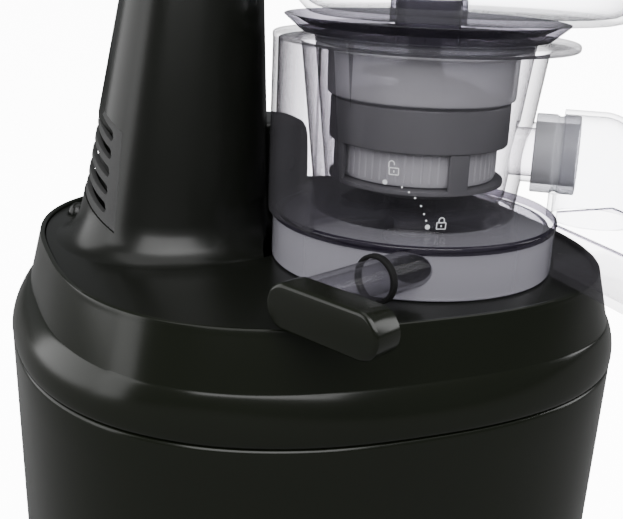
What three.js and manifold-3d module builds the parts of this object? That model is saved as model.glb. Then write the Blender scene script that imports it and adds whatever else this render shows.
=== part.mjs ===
// A vertical slow juicer: a wide glossy base with a motor tower, a gear train under the deck, and a clear
// juicing bowl with its strainer, wiper, auger, drip lever, pulp duct, lid, hopper and pusher.
// Millimetres, +Z up. The user's side is -Y, the tower stands at the back left, the bowl at the front right.
import * as THREE from "three";
import { mergeVertices } from "three/addons/utils/BufferGeometryUtils.js";
import Module from "manifold-3d";

const wasm = await Module();
wasm.setup();

// ---- Driving dimensions -------------------------------------------------------------------------------
const GAP = 0.3; // clearance between pieces that meet
const WALL = 3; // wall of the base shells
const PLAN_SIDES = 40; // sides of the base's oval plan
const ROUND = 28; // sides of the large round shapes
const MIDDLE_ROUND = 18; // sides of tubes and handles
const SMALL_ROUND = 12; // sides of bosses and bushes

const FOOT = { radius: 11, height: 4, x: 92, y: 78 };
const DECK_Z = 156; // top of the deck above the table
const SEAM_DROP = 42.6; // from the deck down to the seam between the skirt and the shoulder
const SEAM = { a: 140.1, b: 131.3, n: 2.42 }; // half axes and exponent of the plan at the seam
const BOTTOM_INSET = 3; // how far the skirt draws in at its foot
const DECK = { a: 125.4, b: 121.8, n: 2.73 }; // plan at the deck's rim
const NECK_DROP = 22; // height of the neck wall below the rim
const NECK_FLARE = 5; // how far the neck has grown by its foot
const LIP = { width: 2.4, height: 1.5 };
const LEDGE = 4; // shelf under the deck plate

const BOWL_AT = { x: 31.5, y: -42 }; // bowl axis in the base's plan
const AXIS_ANGLE = THREE.MathUtils.degToRad(-33.5); // direction from the tower to the bowl
const TOWER = {
  spacing: 113.5, radius: 45.3, topRadius: 26.9, lean: 12, height: 150, n: 2.15, fillet: 11, filletHeight: 16,
};
const VENT = {
  half: 74, low: 24, high: 67, slots: 5, pitch: 7.8, slot: 4.7, first: 27.75, drop: 18, inset: 0.6,
};
const HUMP = { angle: 125.5, reach: 86, a: 24, height: 54 };
const BUMP = { x: -101, y: 66, radius: 5, height: 6 };
const CAP_HEIGHT = 9;

const MODULES = [1.5, 1.6, 1.75]; // tooth modules of the three reduction stages
const TEETH = [[10, 38], [10, 34], [12, 34]];
const GEAR_LEVELS = [118, 126, 135]; // underside of each stage's wheel
const GEAR_THICK = 6;
const TOOTH_SHARE = 0.42; // tooth width as a share of the pitch
const GEARBOX = { radius: 36, low: 110, high: 148, wall: 2.5 };
const MOTOR = { radius: 33, low: 34, high: 106, shaft: 3, core: 26 };
const SPINDLE = { radius: 5, hex: 10, top: 27 };
const BOSS = { outer: 13.5, bore: 10, height: 8 };

const DRUM = { radius: 63, wall: 2.5, low: 0.6, high: 23.5, plate: 3.5, band: 1 };
const CUP = { floor: 31, lowOuter: 45.2, highOuter: 53.6, lowInner: 39.6, highInner: 47.6, plate: 3 };
const RING = { radius: 65.6, z: 99.5, thick: 3 };
const PANEL = { from: 113, to: 203, thick: 2.6, drain: 4 };
const STRAINER = {
  radius: 34.6, wall: 1.8, low: 40.2, collar: 41, collarHeight: 21.1, drop: 4.1, rim: 46.6, rimThick: 1.8,
  slots: 12,
};
const WIPER = { inner: 36.6, outer: 39.3, bandHeight: 18, below: 1.3, posts: 4 };
const BOWL_GEARS = { module: 1.25, sun: 16, idler: 8, ring: 32, low: 33, high: 38 };
const AUGER = { flight: 31.4, core: 13, shaft: 8, low: 43, drop: 8.5, turns: 2.5, pin: 4, pinHeight: 5 };
const SPOUT = {
  turn: 23.9, y: -37.8, z: 13.4, outer: 8, bore: 6, reach: 47.55, ringAt: 10.5, ring: 2, root: -16,
};
const LEVER = { radius: 8.8, length: 34.8, thick: 12.5 };
const PULP = { angle: -35, z: 53, spigot: 13, bore: 10.5, sleeve: 17, sleeveEnd: 69, hood: 19.5, corner: 78 };
const CHUTE = { left: 43, right: 90, back: -26, front: -123, low: 2.6, high: 25, wall: 2.6 };
const LID = { plate: 2.7, foot: 53, rim: 61.5, rise: 7.2, wall: 3 };
const FEED = { bore: 15, wall: 2.4, away: 24, angle: 60, rise: 7 };
const HOPPER = { x: 20, a: 74, b: 61, topA: 87, topB: 73, height: 42, wall: 2.5 };
const PUSHER = { below: 2.8, length: 99, cap: 24, capHeight: 18 };

const SEAM_Z = DECK_Z - SEAM_DROP;
// Room that the base leaves round the bowl.
const SEAT_RADIUS = Math.max(RING.radius, DRUM.radius + DRUM.band) + 1.4;
// Where the drum's side stands beside the spout, and where the spout ends, before the spout is turned.
const DRUM_EDGE = -Math.sqrt((DRUM.radius + DRUM.band) ** 2 - (SPOUT.y + SPOUT.outer + SPOUT.ring) ** 2);
const SPOUT_END = DRUM_EDGE - SPOUT.reach;
const STRAINER_TOP = RING.z - STRAINER.drop; // heights in the bowl set's own frame, from the bowl's ring
const COLLAR_LOW = STRAINER_TOP - STRAINER.collarHeight;
const BAND_HIGH = COLLAR_LOW - WIPER.below;
const BAND_LOW = BAND_HIGH - WIPER.bandHeight;
const AUGER_HIGH = RING.z - AUGER.drop;
const LID_LOW = RING.z + GAP;
const LID_TOP = LID_LOW + LID.rise;
const FEED_TOP = LID_TOP + FEED.rise;
const PUSHER_LOW = LID_LOW - PUSHER.below;
const PUSHER_HIGH = PUSHER_LOW + PUSHER.length;
const TAU = Math.PI * 2;
const SPACINGS = TEETH.map(([small, large], i) => (MODULES[i] * (small + large)) / 2);
const towards = (from, distance, angle) => ({
  x: from.x + distance * Math.cos(angle),
  y: from.y + distance * Math.sin(angle),
});
const TOWER_AT = towards(BOWL_AT, -TOWER.spacing, AXIS_ANGLE);
const SECOND_AT = towards(BOWL_AT, -SPACINGS[2], AXIS_ANGLE);
const FIRST_AT = towards(SECOND_AT, -SPACINGS[1], AXIS_ANGLE);
const MOTOR_AT = towards(FIRST_AT, -SPACINGS[0], AXIS_ANGLE);
const BACK_ANGLE = AXIS_ANGLE + Math.PI; // from the bowl towards the tower

// ---- Making and joining solids ------------------------------------------------------------------------
// A closed three.js geometry as a solid, with its faces turned outwards.
function solid(geometry) {
  const bare = geometry.index ? geometry.toNonIndexed() : geometry.clone();
  bare.deleteAttribute("normal");
  bare.deleteAttribute("uv");
  const merged = mergeVertices(bare, 1e-4);
  const corners = merged.attributes.position.array;
  const kept = [];
  let volume = 0;
  const at = (i) => new THREE.Vector3().fromArray(corners, i * 3);
  for (let i = 0; i < merged.index.count; i += 3) {
    const [a, b, c] = [0, 1, 2].map((k) => merged.index.array[i + k]);
    if (a === b || b === c || a === c) continue;
    kept.push(a, b, c);
    volume += at(a).dot(at(b).cross(at(c)));
  }
  if (volume < 0) for (let i = 0; i < kept.length; i += 3) [kept[i], kept[i + 1]] = [kept[i + 1], kept[i]];
  const mesh = new wasm.Mesh({ numProp: 3, vertProperties: corners, triVerts: new Uint32Array(kept) });
  return new wasm.Manifold(mesh);
}

const join = (...solids) => solids.reduce((whole, one) => whole.add(one));
const cut = (whole, ...tools) => tools.reduce((left, tool) => left.subtract(tool), whole);

// A solid moved to x, y, z.
function moved(geometry, x = 0, y = 0, z = 0) {
  return geometry.translate(x, y, z);
}

// Turned about Z from a profile of [radius, height] points that is closed, or starts and ends on the axis.
function turned(profile, { x = 0, y = 0, sides = ROUND, closed = false } = {}) {
  const points = profile.map(([r, z]) => new THREE.Vector2(r, z));
  if (closed) points.push(points[0].clone());
  const geometry = new THREE.LatheGeometry(points, sides).rotateX(Math.PI / 2);
  return solid(moved(geometry, x, y));
}

const disc = (radius, low, high, options) =>
  turned([[0, low], [radius, low], [radius, high], [0, high]], options);

const ringOf = (inner, outer, low, high, options = {}) =>
  turned([[inner, low], [outer, low], [outer, high], [inner, high]], { ...options, closed: true });

const box = (x0, x1, y0, y1, z0, z1) =>
  solid(moved(new THREE.BoxGeometry(x1 - x0, y1 - y0, z1 - z0), (x0 + x1) / 2, (y0 + y1) / 2, (z0 + z1) / 2));

// A rod along a direction in plan, from one distance to another, at height z.
function rod(radius, from, to, angle, z, { x = 0, y = 0, sides = SMALL_ROUND } = {}) {
  const geometry = new THREE.CylinderGeometry(radius, radius, to - from, sides).rotateZ(-Math.PI / 2);
  geometry.translate((from + to) / 2, 0, 0).rotateZ(angle);
  return solid(moved(geometry, x, y, z));
}

// An outline extruded upwards between two heights.
function prism(points, low, high, x = 0, y = 0) {
  const shape = new THREE.Shape(points.map(([px, py]) => new THREE.Vector2(px, py)));
  const geometry = new THREE.ExtrudeGeometry(shape, { depth: high - low, bevelEnabled: false });
  return solid(moved(geometry, x, y, low));
}

// The rounded oval plan of the base: a superellipse with half axes a and b.
function oval({ a, b, n = 2, x = 0, y = 0 }, z, grow = 0, sides = PLAN_SIDES) {
  const power = 2 / n;
  const bent = (v) => Math.sign(v) * Math.abs(v) ** power;
  return Array.from({ length: sides }, (_, i) => {
    const t = (i / sides) * TAU;
    return [x + (a + grow) * bent(Math.cos(t)), y + (b + grow) * bent(Math.sin(t)), z];
  });
}

// Skinned over a list of outlines with equal point counts. A ring-shaped skin closes on its first outline.
function skinned(outlines, ringShaped = false) {
  const count = outlines[0].length;
  const corners = outlines.flat(2);
  const faces = [];
  const rows = ringShaped ? outlines.length : outlines.length - 1;
  for (let row = 0; row < rows; row++)
    for (let i = 0; i < count; i++) {
      const next = (row + 1) % outlines.length;
      const j = (i + 1) % count;
      const [a, b] = [row * count + i, row * count + j];
      const [c, d] = [next * count + j, next * count + i];
      faces.push(a, b, c, a, c, d);
    }
  if (!ringShaped)
    for (const row of [0, outlines.length - 1]) {
      const middle = corners.length / 3;
      const mean = [0, 1, 2].map((k) => outlines[row].reduce((sum, p) => sum + p[k], 0) / count);
      corners.push(...mean);
      for (let i = 0; i < count; i++) {
        const [a, b] = [row * count + i, row * count + ((i + 1) % count)];
        faces.push(...(row === 0 ? [middle, b, a] : [middle, a, b]));
      }
    }
  const geometry = new THREE.BufferGeometry();
  geometry.setAttribute("position", new THREE.BufferAttribute(new Float32Array(corners), 3));
  geometry.setIndex(faces);
  return solid(geometry);
}

// A stadium outline in plan around the line between two points.
function stadium(from, to, radius, sides = 10) {
  const angle = Math.atan2(to.y - from.y, to.x - from.x);
  const half = (centre, start) =>
    Array.from({ length: sides + 1 }, (_, i) => {
      const t = start + (i / sides) * Math.PI;
      return [centre.x + radius * Math.cos(t), centre.y + radius * Math.sin(t)];
    });
  return [...half(to, angle - Math.PI / 2), ...half(from, angle + Math.PI / 2)];
}

// Part of a ring between two angles (degrees), which may sag towards its ends from a middle angle.
function arcBlock(inner, outer, from, to, low, high, { sag = 0, middle = 0, x = 0, y = 0, steps = 7 } = {}) {
  const outlines = Array.from({ length: steps + 1 }, (_, i) => {
    const degrees = from + ((to - from) * i) / steps;
    const t = THREE.MathUtils.degToRad(degrees);
    const down = sag * (1 - Math.cos(THREE.MathUtils.degToRad(degrees - middle)));
    const corner = (r, z) => [x + r * Math.cos(t), y + r * Math.sin(t), z - down];
    return [corner(inner, low), corner(outer, low), corner(outer, high), corner(inner, high)];
  });
  return skinned(outlines);
}

// ---- Gears --------------------------------------------------------------------------------------------
// Outline of a spur gear, or of the opening of an internal gear.
function gearOutline(teeth, module, { turn = 0, inside = false } = {}) {
  const pitch = (teeth * module) / 2;
  const tip = pitch + (inside ? -0.85 : 0.85) * module;
  const root = pitch + (inside ? 1.15 : -1.15) * module;
  const step = TAU / teeth;
  const wide = step * TOOTH_SHARE * 0.78;
  const narrow = step * TOOTH_SHARE * 0.3;
  return Array.from({ length: teeth }, (_, i) => {
    const t = turn + i * step;
    return [[root, -wide], [tip, -narrow], [tip, narrow], [root, wide]].map(([r, offset]) => [
      r * Math.cos(t + offset),
      r * Math.sin(t + offset),
    ]);
  }).flat();
}

const gear = (teeth, module, low, high, at, turn) =>
  prism(gearOutline(teeth, module, { turn }), low, high, at.x, at.y);

// Turn that puts a tooth, or with a half step a gap, of a gear towards an angle.
const facing = (angle, teeth, gapFirst) => angle + (gapFirst ? Math.PI / teeth : 0);

// ---- Base shells --------------------------------------------------------------------------------------
const skirtInside = (z, grow = 0) => oval(SEAM, z, grow - WALL - (BOTTOM_INSET * (SEAM_Z - z)) / SEAM_Z);
const skirtOutside = (z, grow = 0) => skirtInside(z, grow + WALL);
const POSTS = [45, 135, 225, 315].map((degrees) => {
  const t = THREE.MathUtils.degToRad(degrees);
  const points = skirtInside(FOOT.height);
  const far = points.reduce((best, p) => {
    const along = p[0] * Math.cos(t) + p[1] * Math.sin(t);
    return along > best.along ? { along, x: p[0], y: p[1] } : best;
  }, { along: 0 });
  const share = 1 - 3.5 / Math.hypot(far.x, far.y);
  return { x: far.x * share, y: far.y * share };
});
const SWITCH = { x: 20, z: 46, width: 30, height: 18 };
const GLAND = { x: -52, z: 26, radius: 7 };
const BACK_Y = SEAM.b; // the skirt's back at the middle of its length

function baseSkirt() {
  const top = SEAM_Z - GAP;
  const shell = skinned([
    skirtInside(FOOT.height), skirtOutside(FOOT.height), skirtOutside(SEAM_Z * 0.5),
    skirtOutside(top - 2), skirtOutside(top, -0.8), skirtInside(top), skirtInside(SEAM_Z * 0.5),
  ], true);
  const bosses = POSTS.map((at) => disc(5, FOOT.height + WALL + GAP, 40, { ...at, sides: SMALL_ROUND }));
  const bores = POSTS.map((at) => disc(1.7, 0, 36, { ...at, sides: 12 }));
  const opening = box(
    SWITCH.x - SWITCH.width / 2 + 2, SWITCH.x + SWITCH.width / 2 - 2, BACK_Y - 20, BACK_Y + 20,
    SWITCH.z - SWITCH.height / 2 + 2, SWITCH.z + SWITCH.height / 2 - 2,
  );
  const cordHole = rod(GLAND.radius + GAP, 80, 150, Math.PI / 2, GLAND.z, { x: GLAND.x });
  return cut(join(shell, ...bosses), ...bores, opening, cordHole);
}

// Outside of the shoulder as [drop below the deck, growth] over a plan that blends from the deck to the seam.
function shoulderOutline(drop, grow) {
  const share = THREE.MathUtils.clamp((drop - NECK_DROP) / (SEAM_DROP - NECK_DROP), 0, 1);
  const mix = (from, to) => from + (to - from) * Math.sin((share * Math.PI) / 2) ** 0.8;
  const neck = (NECK_FLARE * THREE.MathUtils.clamp(drop, 0, NECK_DROP)) / NECK_DROP;
  const plan = {
    a: mix(DECK.a + neck, SEAM.a + 0.7 - 0.7 * share ** 4),
    b: mix(DECK.b + neck, SEAM.b + 0.7 - 0.7 * share ** 4),
    n: mix(DECK.n, SEAM.n),
  };
  return oval(plan, DECK_Z - drop, grow);
}

function shoulderCover() {
  const drops = [0, NECK_DROP, 25, 30, 36, 40, SEAM_DROP];
  const outside = drops.map((drop) => shoulderOutline(drop, 0)).reverse();
  const inside = [NECK_DROP, 30, 40, SEAM_DROP].map((drop) => shoulderOutline(drop, -WALL));
  const at = (drop, grow) => shoulderOutline(0, grow).map(([x, y]) => [x, y, DECK_Z - drop]);
  return skinned([
    ...outside,
    at(-LIP.height, -0.5),
    at(-LIP.height, -LIP.width),
    at(WALL + GAP, -LIP.width),
    at(WALL + GAP, -LIP.width - LEDGE),
    at(WALL * 2 + GAP, -LIP.width - LEDGE),
    at(WALL * 3, -WALL),
    ...inside,
  ], true);
}

// Plan of the tower at a height above the deck.
function towerOutline(z, grow = 0) {
  const share = THREE.MathUtils.clamp(z / TOWER.height, 0, 1);
  const radius = TOWER.radius + (TOWER.topRadius - TOWER.radius) * share;
  const spread = THREE.MathUtils.clamp(1 - z / TOWER.filletHeight, 0, 1);
  const fillet = TOWER.fillet * (1 - Math.sqrt(1 - spread * spread * 0.98));
  const middle = towards(TOWER_AT, TOWER.lean * share, AXIS_ANGLE);
  return oval({ a: radius, b: radius, n: TOWER.n, ...middle }, DECK_Z + z, fillet + grow, ROUND);
}

const TOWER_LEVELS = [-WALL, 0.6, 2.5, 6, TOWER.filletHeight, 75, TOWER.height];
const towerSolid = (grow, levels = TOWER_LEVELS) => skinned(levels.map((z) => towerOutline(z, grow)));

function ventWindow(grow) {
  const middle = THREE.MathUtils.radToDeg(BACK_ANGLE);
  return arcBlock(
    20, 90, middle - VENT.half - grow * 1.6, middle + VENT.half + grow * 1.6,
    DECK_Z + VENT.low - grow, DECK_Z + VENT.high + grow,
    { sag: VENT.drop, middle, x: TOWER_AT.x, y: TOWER_AT.y },
  );
}

function towerHousing() {
  const plate = skinned([
    oval(DECK, DECK_Z - WALL, -LIP.width - GAP), oval(DECK, DECK_Z, -LIP.width - GAP),
  ]);
  const outer = towerSolid(0);
  const inner = towerSolid(-WALL, [-WALL - 1, ...TOWER_LEVELS.slice(1, -1), TOWER.height + 1]);
  const hump = towards(BOWL_AT, HUMP.reach, THREE.MathUtils.degToRad(HUMP.angle));
  const humpAt = (share, z) =>
    oval({ a: HUMP.a * share, b: HUMP.a * share, n: 2.6, ...hump }, DECK_Z + z, 0, MIDDLE_ROUND);
  const block = skinned([
    humpAt(1.1, -WALL / 2), humpAt(1, 8), humpAt(0.95, HUMP.height - 8), humpAt(0.85, HUMP.height - 2.5),
    humpAt(0.6, HUMP.height),
  ]);
  const dome = Array.from({ length: 5 }, (_, i) => {
    const t = (i / 4) * (Math.PI / 2);
    return [BUMP.radius * Math.cos(t), DECK_Z + BUMP.height * Math.sin(t)];
  });
  const bump = turned(
    [[0, DECK_Z - 1], [BUMP.radius, DECK_Z - 1], ...dome.slice(0, -1), [0, DECK_Z + BUMP.height]],
    { x: BUMP.x, y: BUMP.y, sides: SMALL_ROUND },
  );
  const boss = disc(BOSS.outer, DECK_Z - WALL, DECK_Z + BOSS.height, { ...BOWL_AT, sides: SMALL_ROUND });
  const seat = disc(SEAT_RADIUS, DECK_Z, DECK_Z + TOWER.height, BOWL_AT);
  const seatWall = disc(SEAT_RADIUS + WALL, DECK_Z, DECK_Z + TOWER.height, BOWL_AT);
  const bore = disc(BOSS.bore, DECK_Z - 20, DECK_Z + 20, { ...BOWL_AT, sides: SMALL_ROUND });
  const button = buttonPlace();
  const buttonBore = rod(BUTTON.radius + GAP, -1, BUTTON.depth + 3, button.angle, button.z, button);
  const shell = cut(join(cut(join(outer, block), seat), plate, bump), cut(inner, seatWall));
  return cut(join(shell, boss), bore, ventWindow(GAP), buttonBore);
}

function ventGrille() {
  const middle = THREE.MathUtils.radToDeg(BACK_ANGLE);
  const levels = TOWER_LEVELS.slice(2);
  const skin = cut(towerSolid(-VENT.inset, levels), towerSolid(-VENT.inset - 2, levels));
  const slots = Array.from({ length: VENT.slots }, (_, i) => {
    const low = DECK_Z + VENT.first + i * VENT.pitch;
    return arcBlock(20, 90, middle - VENT.half + 9, middle + VENT.half - 9, low, low + VENT.slot,
      { sag: VENT.drop, middle, x: TOWER_AT.x, y: TOWER_AT.y });
  });
  return cut(skin.intersect(ventWindow(0)), ...slots);
}

function towerCap() {
  const foot = DECK_Z + TOWER.height + GAP;
  const top = towerOutline(TOWER.height);
  const middle = towards(TOWER_AT, TOWER.lean, AXIS_ANGLE);
  const towardsEdge = (from, to, share) => from + (to - from) * share;
  const at = (share, z) =>
    top.map(([x, y]) => [towardsEdge(middle.x, x, share), towardsEdge(middle.y, y, share), z]);
  const plug = 1 - (WALL + GAP) / TOWER.topRadius;
  const cap = skinned([
    at(plug, foot - 5), at(plug, foot), at(1, foot), at(1, foot + 3),
    at(0.95, foot + 6), at(0.82, foot + 8.2), at(0.5, foot + CAP_HEIGHT),
  ]);
  const clearOfBowl = disc(SEAT_RADIUS, foot - 1, foot + CAP_HEIGHT + 1, BOWL_AT);
  return cut(cap, clearOfBowl, disc(SEAT_RADIUS + WALL + GAP, foot - 6, foot, BOWL_AT));
}

function basePlate() {
  const low = FOOT.height;
  const plate = skinned([skirtInside(low, -GAP), skirtInside(low + WALL, -GAP)]);
  return cut(plate, ...POSTS.map((at) => disc(1.7, 0, 20, { ...at, sides: 12 })));
}

const foot = (at) => {
  const r = FOOT.radius;
  const top = FOOT.height - GAP;
  return turned([[0, 0], [r - 1.2, 0], [r, 1.2], [r - 0.6, top], [0, top]], { ...at, sides: SMALL_ROUND });
};

const screw = (at) => {
  const head = FOOT.height - GAP;
  return turned([
    [0, head - 2], [2.4, head - 2], [3.4, head - 1], [3.4, head], [1.4, head], [1.4, 24], [0, 26],
  ], { ...at, sides: 16 });
};

// ---- Motor and gear train -----------------------------------------------------------------------------
function motorCan() {
  const { radius, low, high } = MOTOR;
  const can = turned([
    [7, low], [radius, low], [radius, high], [12, high], [12, high - 2.5], [radius - 2.5, high - 2.5],
    [radius - 2.5, low + 2.5], [7, low + 2.5],
  ], { ...MOTOR_AT, closed: true, sides: MIDDLE_ROUND });
  const windows = [0, 1, 2, 3].map((i) =>
    rod(6, radius - 8, radius + 4, (i * TAU) / 4, low + 14, { ...MOTOR_AT, sides: 12 }));
  return cut(can, ...windows);
}

function motorRotor() {
  const { low, high, core, shaft } = MOTOR;
  const bar = disc(shaft, low - 12, GEAR_LEVELS[0] + GEAR_THICK + 2, { ...MOTOR_AT, sides: 20 });
  const stack = disc(core, low + 12, high - 12, { ...MOTOR_AT, sides: MIDDLE_ROUND });
  const turn = facing(AXIS_ANGLE, TEETH[0][0], false);
  const from = GEAR_LEVELS[0] - 1;
  return join(bar, stack, gear(TEETH[0][0], MODULES[0], from, from + GEAR_THICK + 2, MOTOR_AT, turn));
}

function motorFan() {
  const low = MOTOR.low - 12;
  const hub = ringOf(MOTOR.shaft + GAP, 8, low, low + 8, { ...MOTOR_AT, sides: 20 });
  const blades = Array.from({ length: 9 }, (_, i) => {
    const blade = new THREE.BoxGeometry(18, 1.4, 8).rotateX(0.6).translate(15, 0, low + 4);
    blade.rotateZ((i / 9) * TAU);
    return solid(blade.translate(MOTOR_AT.x, MOTOR_AT.y, 0));
  });
  return join(hub, ...blades);
}

const pin = (at) => disc(2.6, GEARBOX.low + WALL + GAP, GEARBOX.high - WALL - GAP, { ...at, sides: 16 });

// A wheel of one stage and the small gear of the next on one hub, with a bore for its pin.
function gearPair(stage, at, wheelTurn, smallTurn) {
  const low = GEAR_LEVELS[stage];
  const high = GEAR_LEVELS[stage + 1] + GEAR_THICK + 1;
  const wheel = gear(TEETH[stage][1], MODULES[stage], low, low + GEAR_THICK, at, wheelTurn);
  const small = gear(TEETH[stage + 1][0], MODULES[stage + 1], low + GEAR_THICK - 1, high, at, smallTurn);
  return cut(join(wheel, small), disc(2.9, low - 5, high + 5, { ...at, sides: 16 }));
}

const firstGear = () =>
  gearPair(0, FIRST_AT, facing(BACK_ANGLE, TEETH[0][1], true), facing(AXIS_ANGLE, TEETH[1][0], false));
const secondGear = () =>
  gearPair(1, SECOND_AT, facing(BACK_ANGLE, TEETH[1][1], true), facing(AXIS_ANGLE, TEETH[2][0], false));

function driveSpindle() {
  const low = GEAR_LEVELS[2];
  const turn = facing(BACK_ANGLE, TEETH[2][1], true);
  const wheel = gear(TEETH[2][1], MODULES[2], low, low + GEAR_THICK, BOWL_AT, turn);
  const bar = disc(SPINDLE.radius, GEARBOX.low + WALL + 1, DECK_Z + 8, { ...BOWL_AT, sides: 24 });
  const corner = SPINDLE.hex / Math.sqrt(3);
  const hex = disc(corner, DECK_Z + 7, DECK_Z + SPINDLE.top, { ...BOWL_AT, sides: 6 });
  return join(wheel, bar, hex);
}

const gearboxPlan = (radius) => stadium(MOTOR_AT, BOWL_AT, radius);

function gearboxTray() {
  const { radius, low, high, wall } = GEARBOX;
  const outer = prism(gearboxPlan(radius), low, high - WALL - GAP);
  const hollow = prism(gearboxPlan(radius - wall), low + WALL, high);
  const pins = [pin(FIRST_AT), pin(SECOND_AT)].map((one) => one.add(one.translate([0, 0, -1])));
  const motorHole = disc(MOTOR.shaft + 1, low - 2, low + WALL + 2, { ...MOTOR_AT, sides: 20 });
  const socket = disc(SPINDLE.radius + GAP, low + 1, low + WALL + 2, { ...BOWL_AT, sides: 24 });
  return cut(join(cut(outer, hollow), ...pins), motorHole, socket);
}

function gearboxLid() {
  const { radius, high } = GEARBOX;
  const plate = prism(gearboxPlan(radius), high - WALL, high);
  return cut(plate, disc(SPINDLE.radius + 1, 0, DECK_Z, { ...BOWL_AT, sides: 24 }));
}

const spindleBush = () =>
  ringOf(SPINDLE.radius + GAP, BOSS.bore - GAP, DECK_Z - 6, DECK_Z + 5, { ...BOWL_AT, sides: SMALL_ROUND });
const spindleSeal = () =>
  ringOf(SPINDLE.radius + 1.2, BOSS.outer - 1, DECK_Z + BOSS.height + GAP, DECK_Z + BOSS.height + 2.6,
    { ...BOWL_AT, sides: SMALL_ROUND });

function controlBoard() {
  const low = FOOT.height + WALL + 4;
  const board = box(20, 90, 45, 90, low, low + 1.6);
  const parts = [box(26, 44, 52, 66, low + 1.5, low + 14), box(52, 78, 60, 72, low + 1.5, low + 20)];
  const coil = disc(8, low + 1.5, low + 18, { x: 62, y: 82, sides: 20 });
  const legs = [[26, 50], [84, 50], [26, 85], [84, 85]].map(([x, y]) =>
    disc(2.5, FOOT.height + WALL + GAP, low + 0.5, { x, y, sides: 12 }));
  return join(board, ...parts, coil, ...legs);
}

// ---- Switch, cord gland and interlock button ----------------------------------------------------------
function switchBezel() {
  const { x, z, width, height } = SWITCH;
  const face = BACK_Y + 2.6;
  const block = (inset, from, to) => box(
    x - width / 2 + inset, x + width / 2 - inset, from, to, z - height / 2 + inset, z + height / 2 - inset,
  );
  const frame = block(0, BACK_Y + GAP, face);
  const neck = block(2.4, BACK_Y - 16, BACK_Y + 1);
  const well = block(4, BACK_Y - 14, face + 1);
  return cut(join(frame, neck), well);
}

function rockerSwitch() {
  const { x, z, width, height } = SWITCH;
  const half = height / 2 - 5.6;
  const section = [[-half, 1], [0, -0.4], [half, 2.4], [half - 1, -4.5], [0, -7], [-half + 1, -4.5]];
  const long = width / 2 - 4.5;
  const side = (sx) => section.map(([up, out]) => [x + sx, BACK_Y + out, z + up]);
  return skinned([side(-long), side(long)]);
}

function cordGland() {
  const { x, z, radius } = GLAND;
  const out = BACK_Y - 1;
  const body = rod(radius, out - 12, out + 5, Math.PI / 2, z, { x });
  const collar = rod(radius + 2.5, out + 2, out + 6, Math.PI / 2, z, { x });
  const bore = rod(3.4, out - 20, out + 20, Math.PI / 2, z, { x });
  return cut(join(body, collar), bore);
}

const BUTTON = { radius: 4, depth: 10, z: 34, travel: 2.5 };
// Where the interlock button stands in the block behind the bowl, and the way it is pressed.
function buttonPlace() {
  const angle = THREE.MathUtils.degToRad(HUMP.angle);
  return { ...towards(BOWL_AT, SEAT_RADIUS, angle), angle, z: DECK_Z + BUTTON.z };
}

function interlockButton() {
  const at = buttonPlace();
  return rod(BUTTON.radius, -0.6, BUTTON.depth - BUTTON.travel, at.angle, at.z, { ...at, sides: 20 });
}

// ---- Bowl set, in its own frame: the bowl axis at x = y = 0 and the deck at z = 0 ---------------------
const cupShare = (z) => (z - CUP.floor) / (RING.z - CUP.floor);
const cupOuter = (z) => CUP.lowOuter + (CUP.highOuter - CUP.lowOuter) * cupShare(z);
const cupInner = (z) => CUP.lowInner + (CUP.highInner - CUP.lowInner) * cupShare(z);
const PULP_ANGLE = THREE.MathUtils.degToRad(PULP.angle);
const IDLER_AWAY = (BOWL_GEARS.module * (BOWL_GEARS.sun + BOWL_GEARS.idler)) / 2;
const IDLER_AT = { x: 0, y: IDLER_AWAY };

// The spout and what sits on it are made along x, then turned about the bowl's axis.
const spoutTurned = (whole) => whole.rotate([0, 0, SPOUT.turn]);

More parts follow.
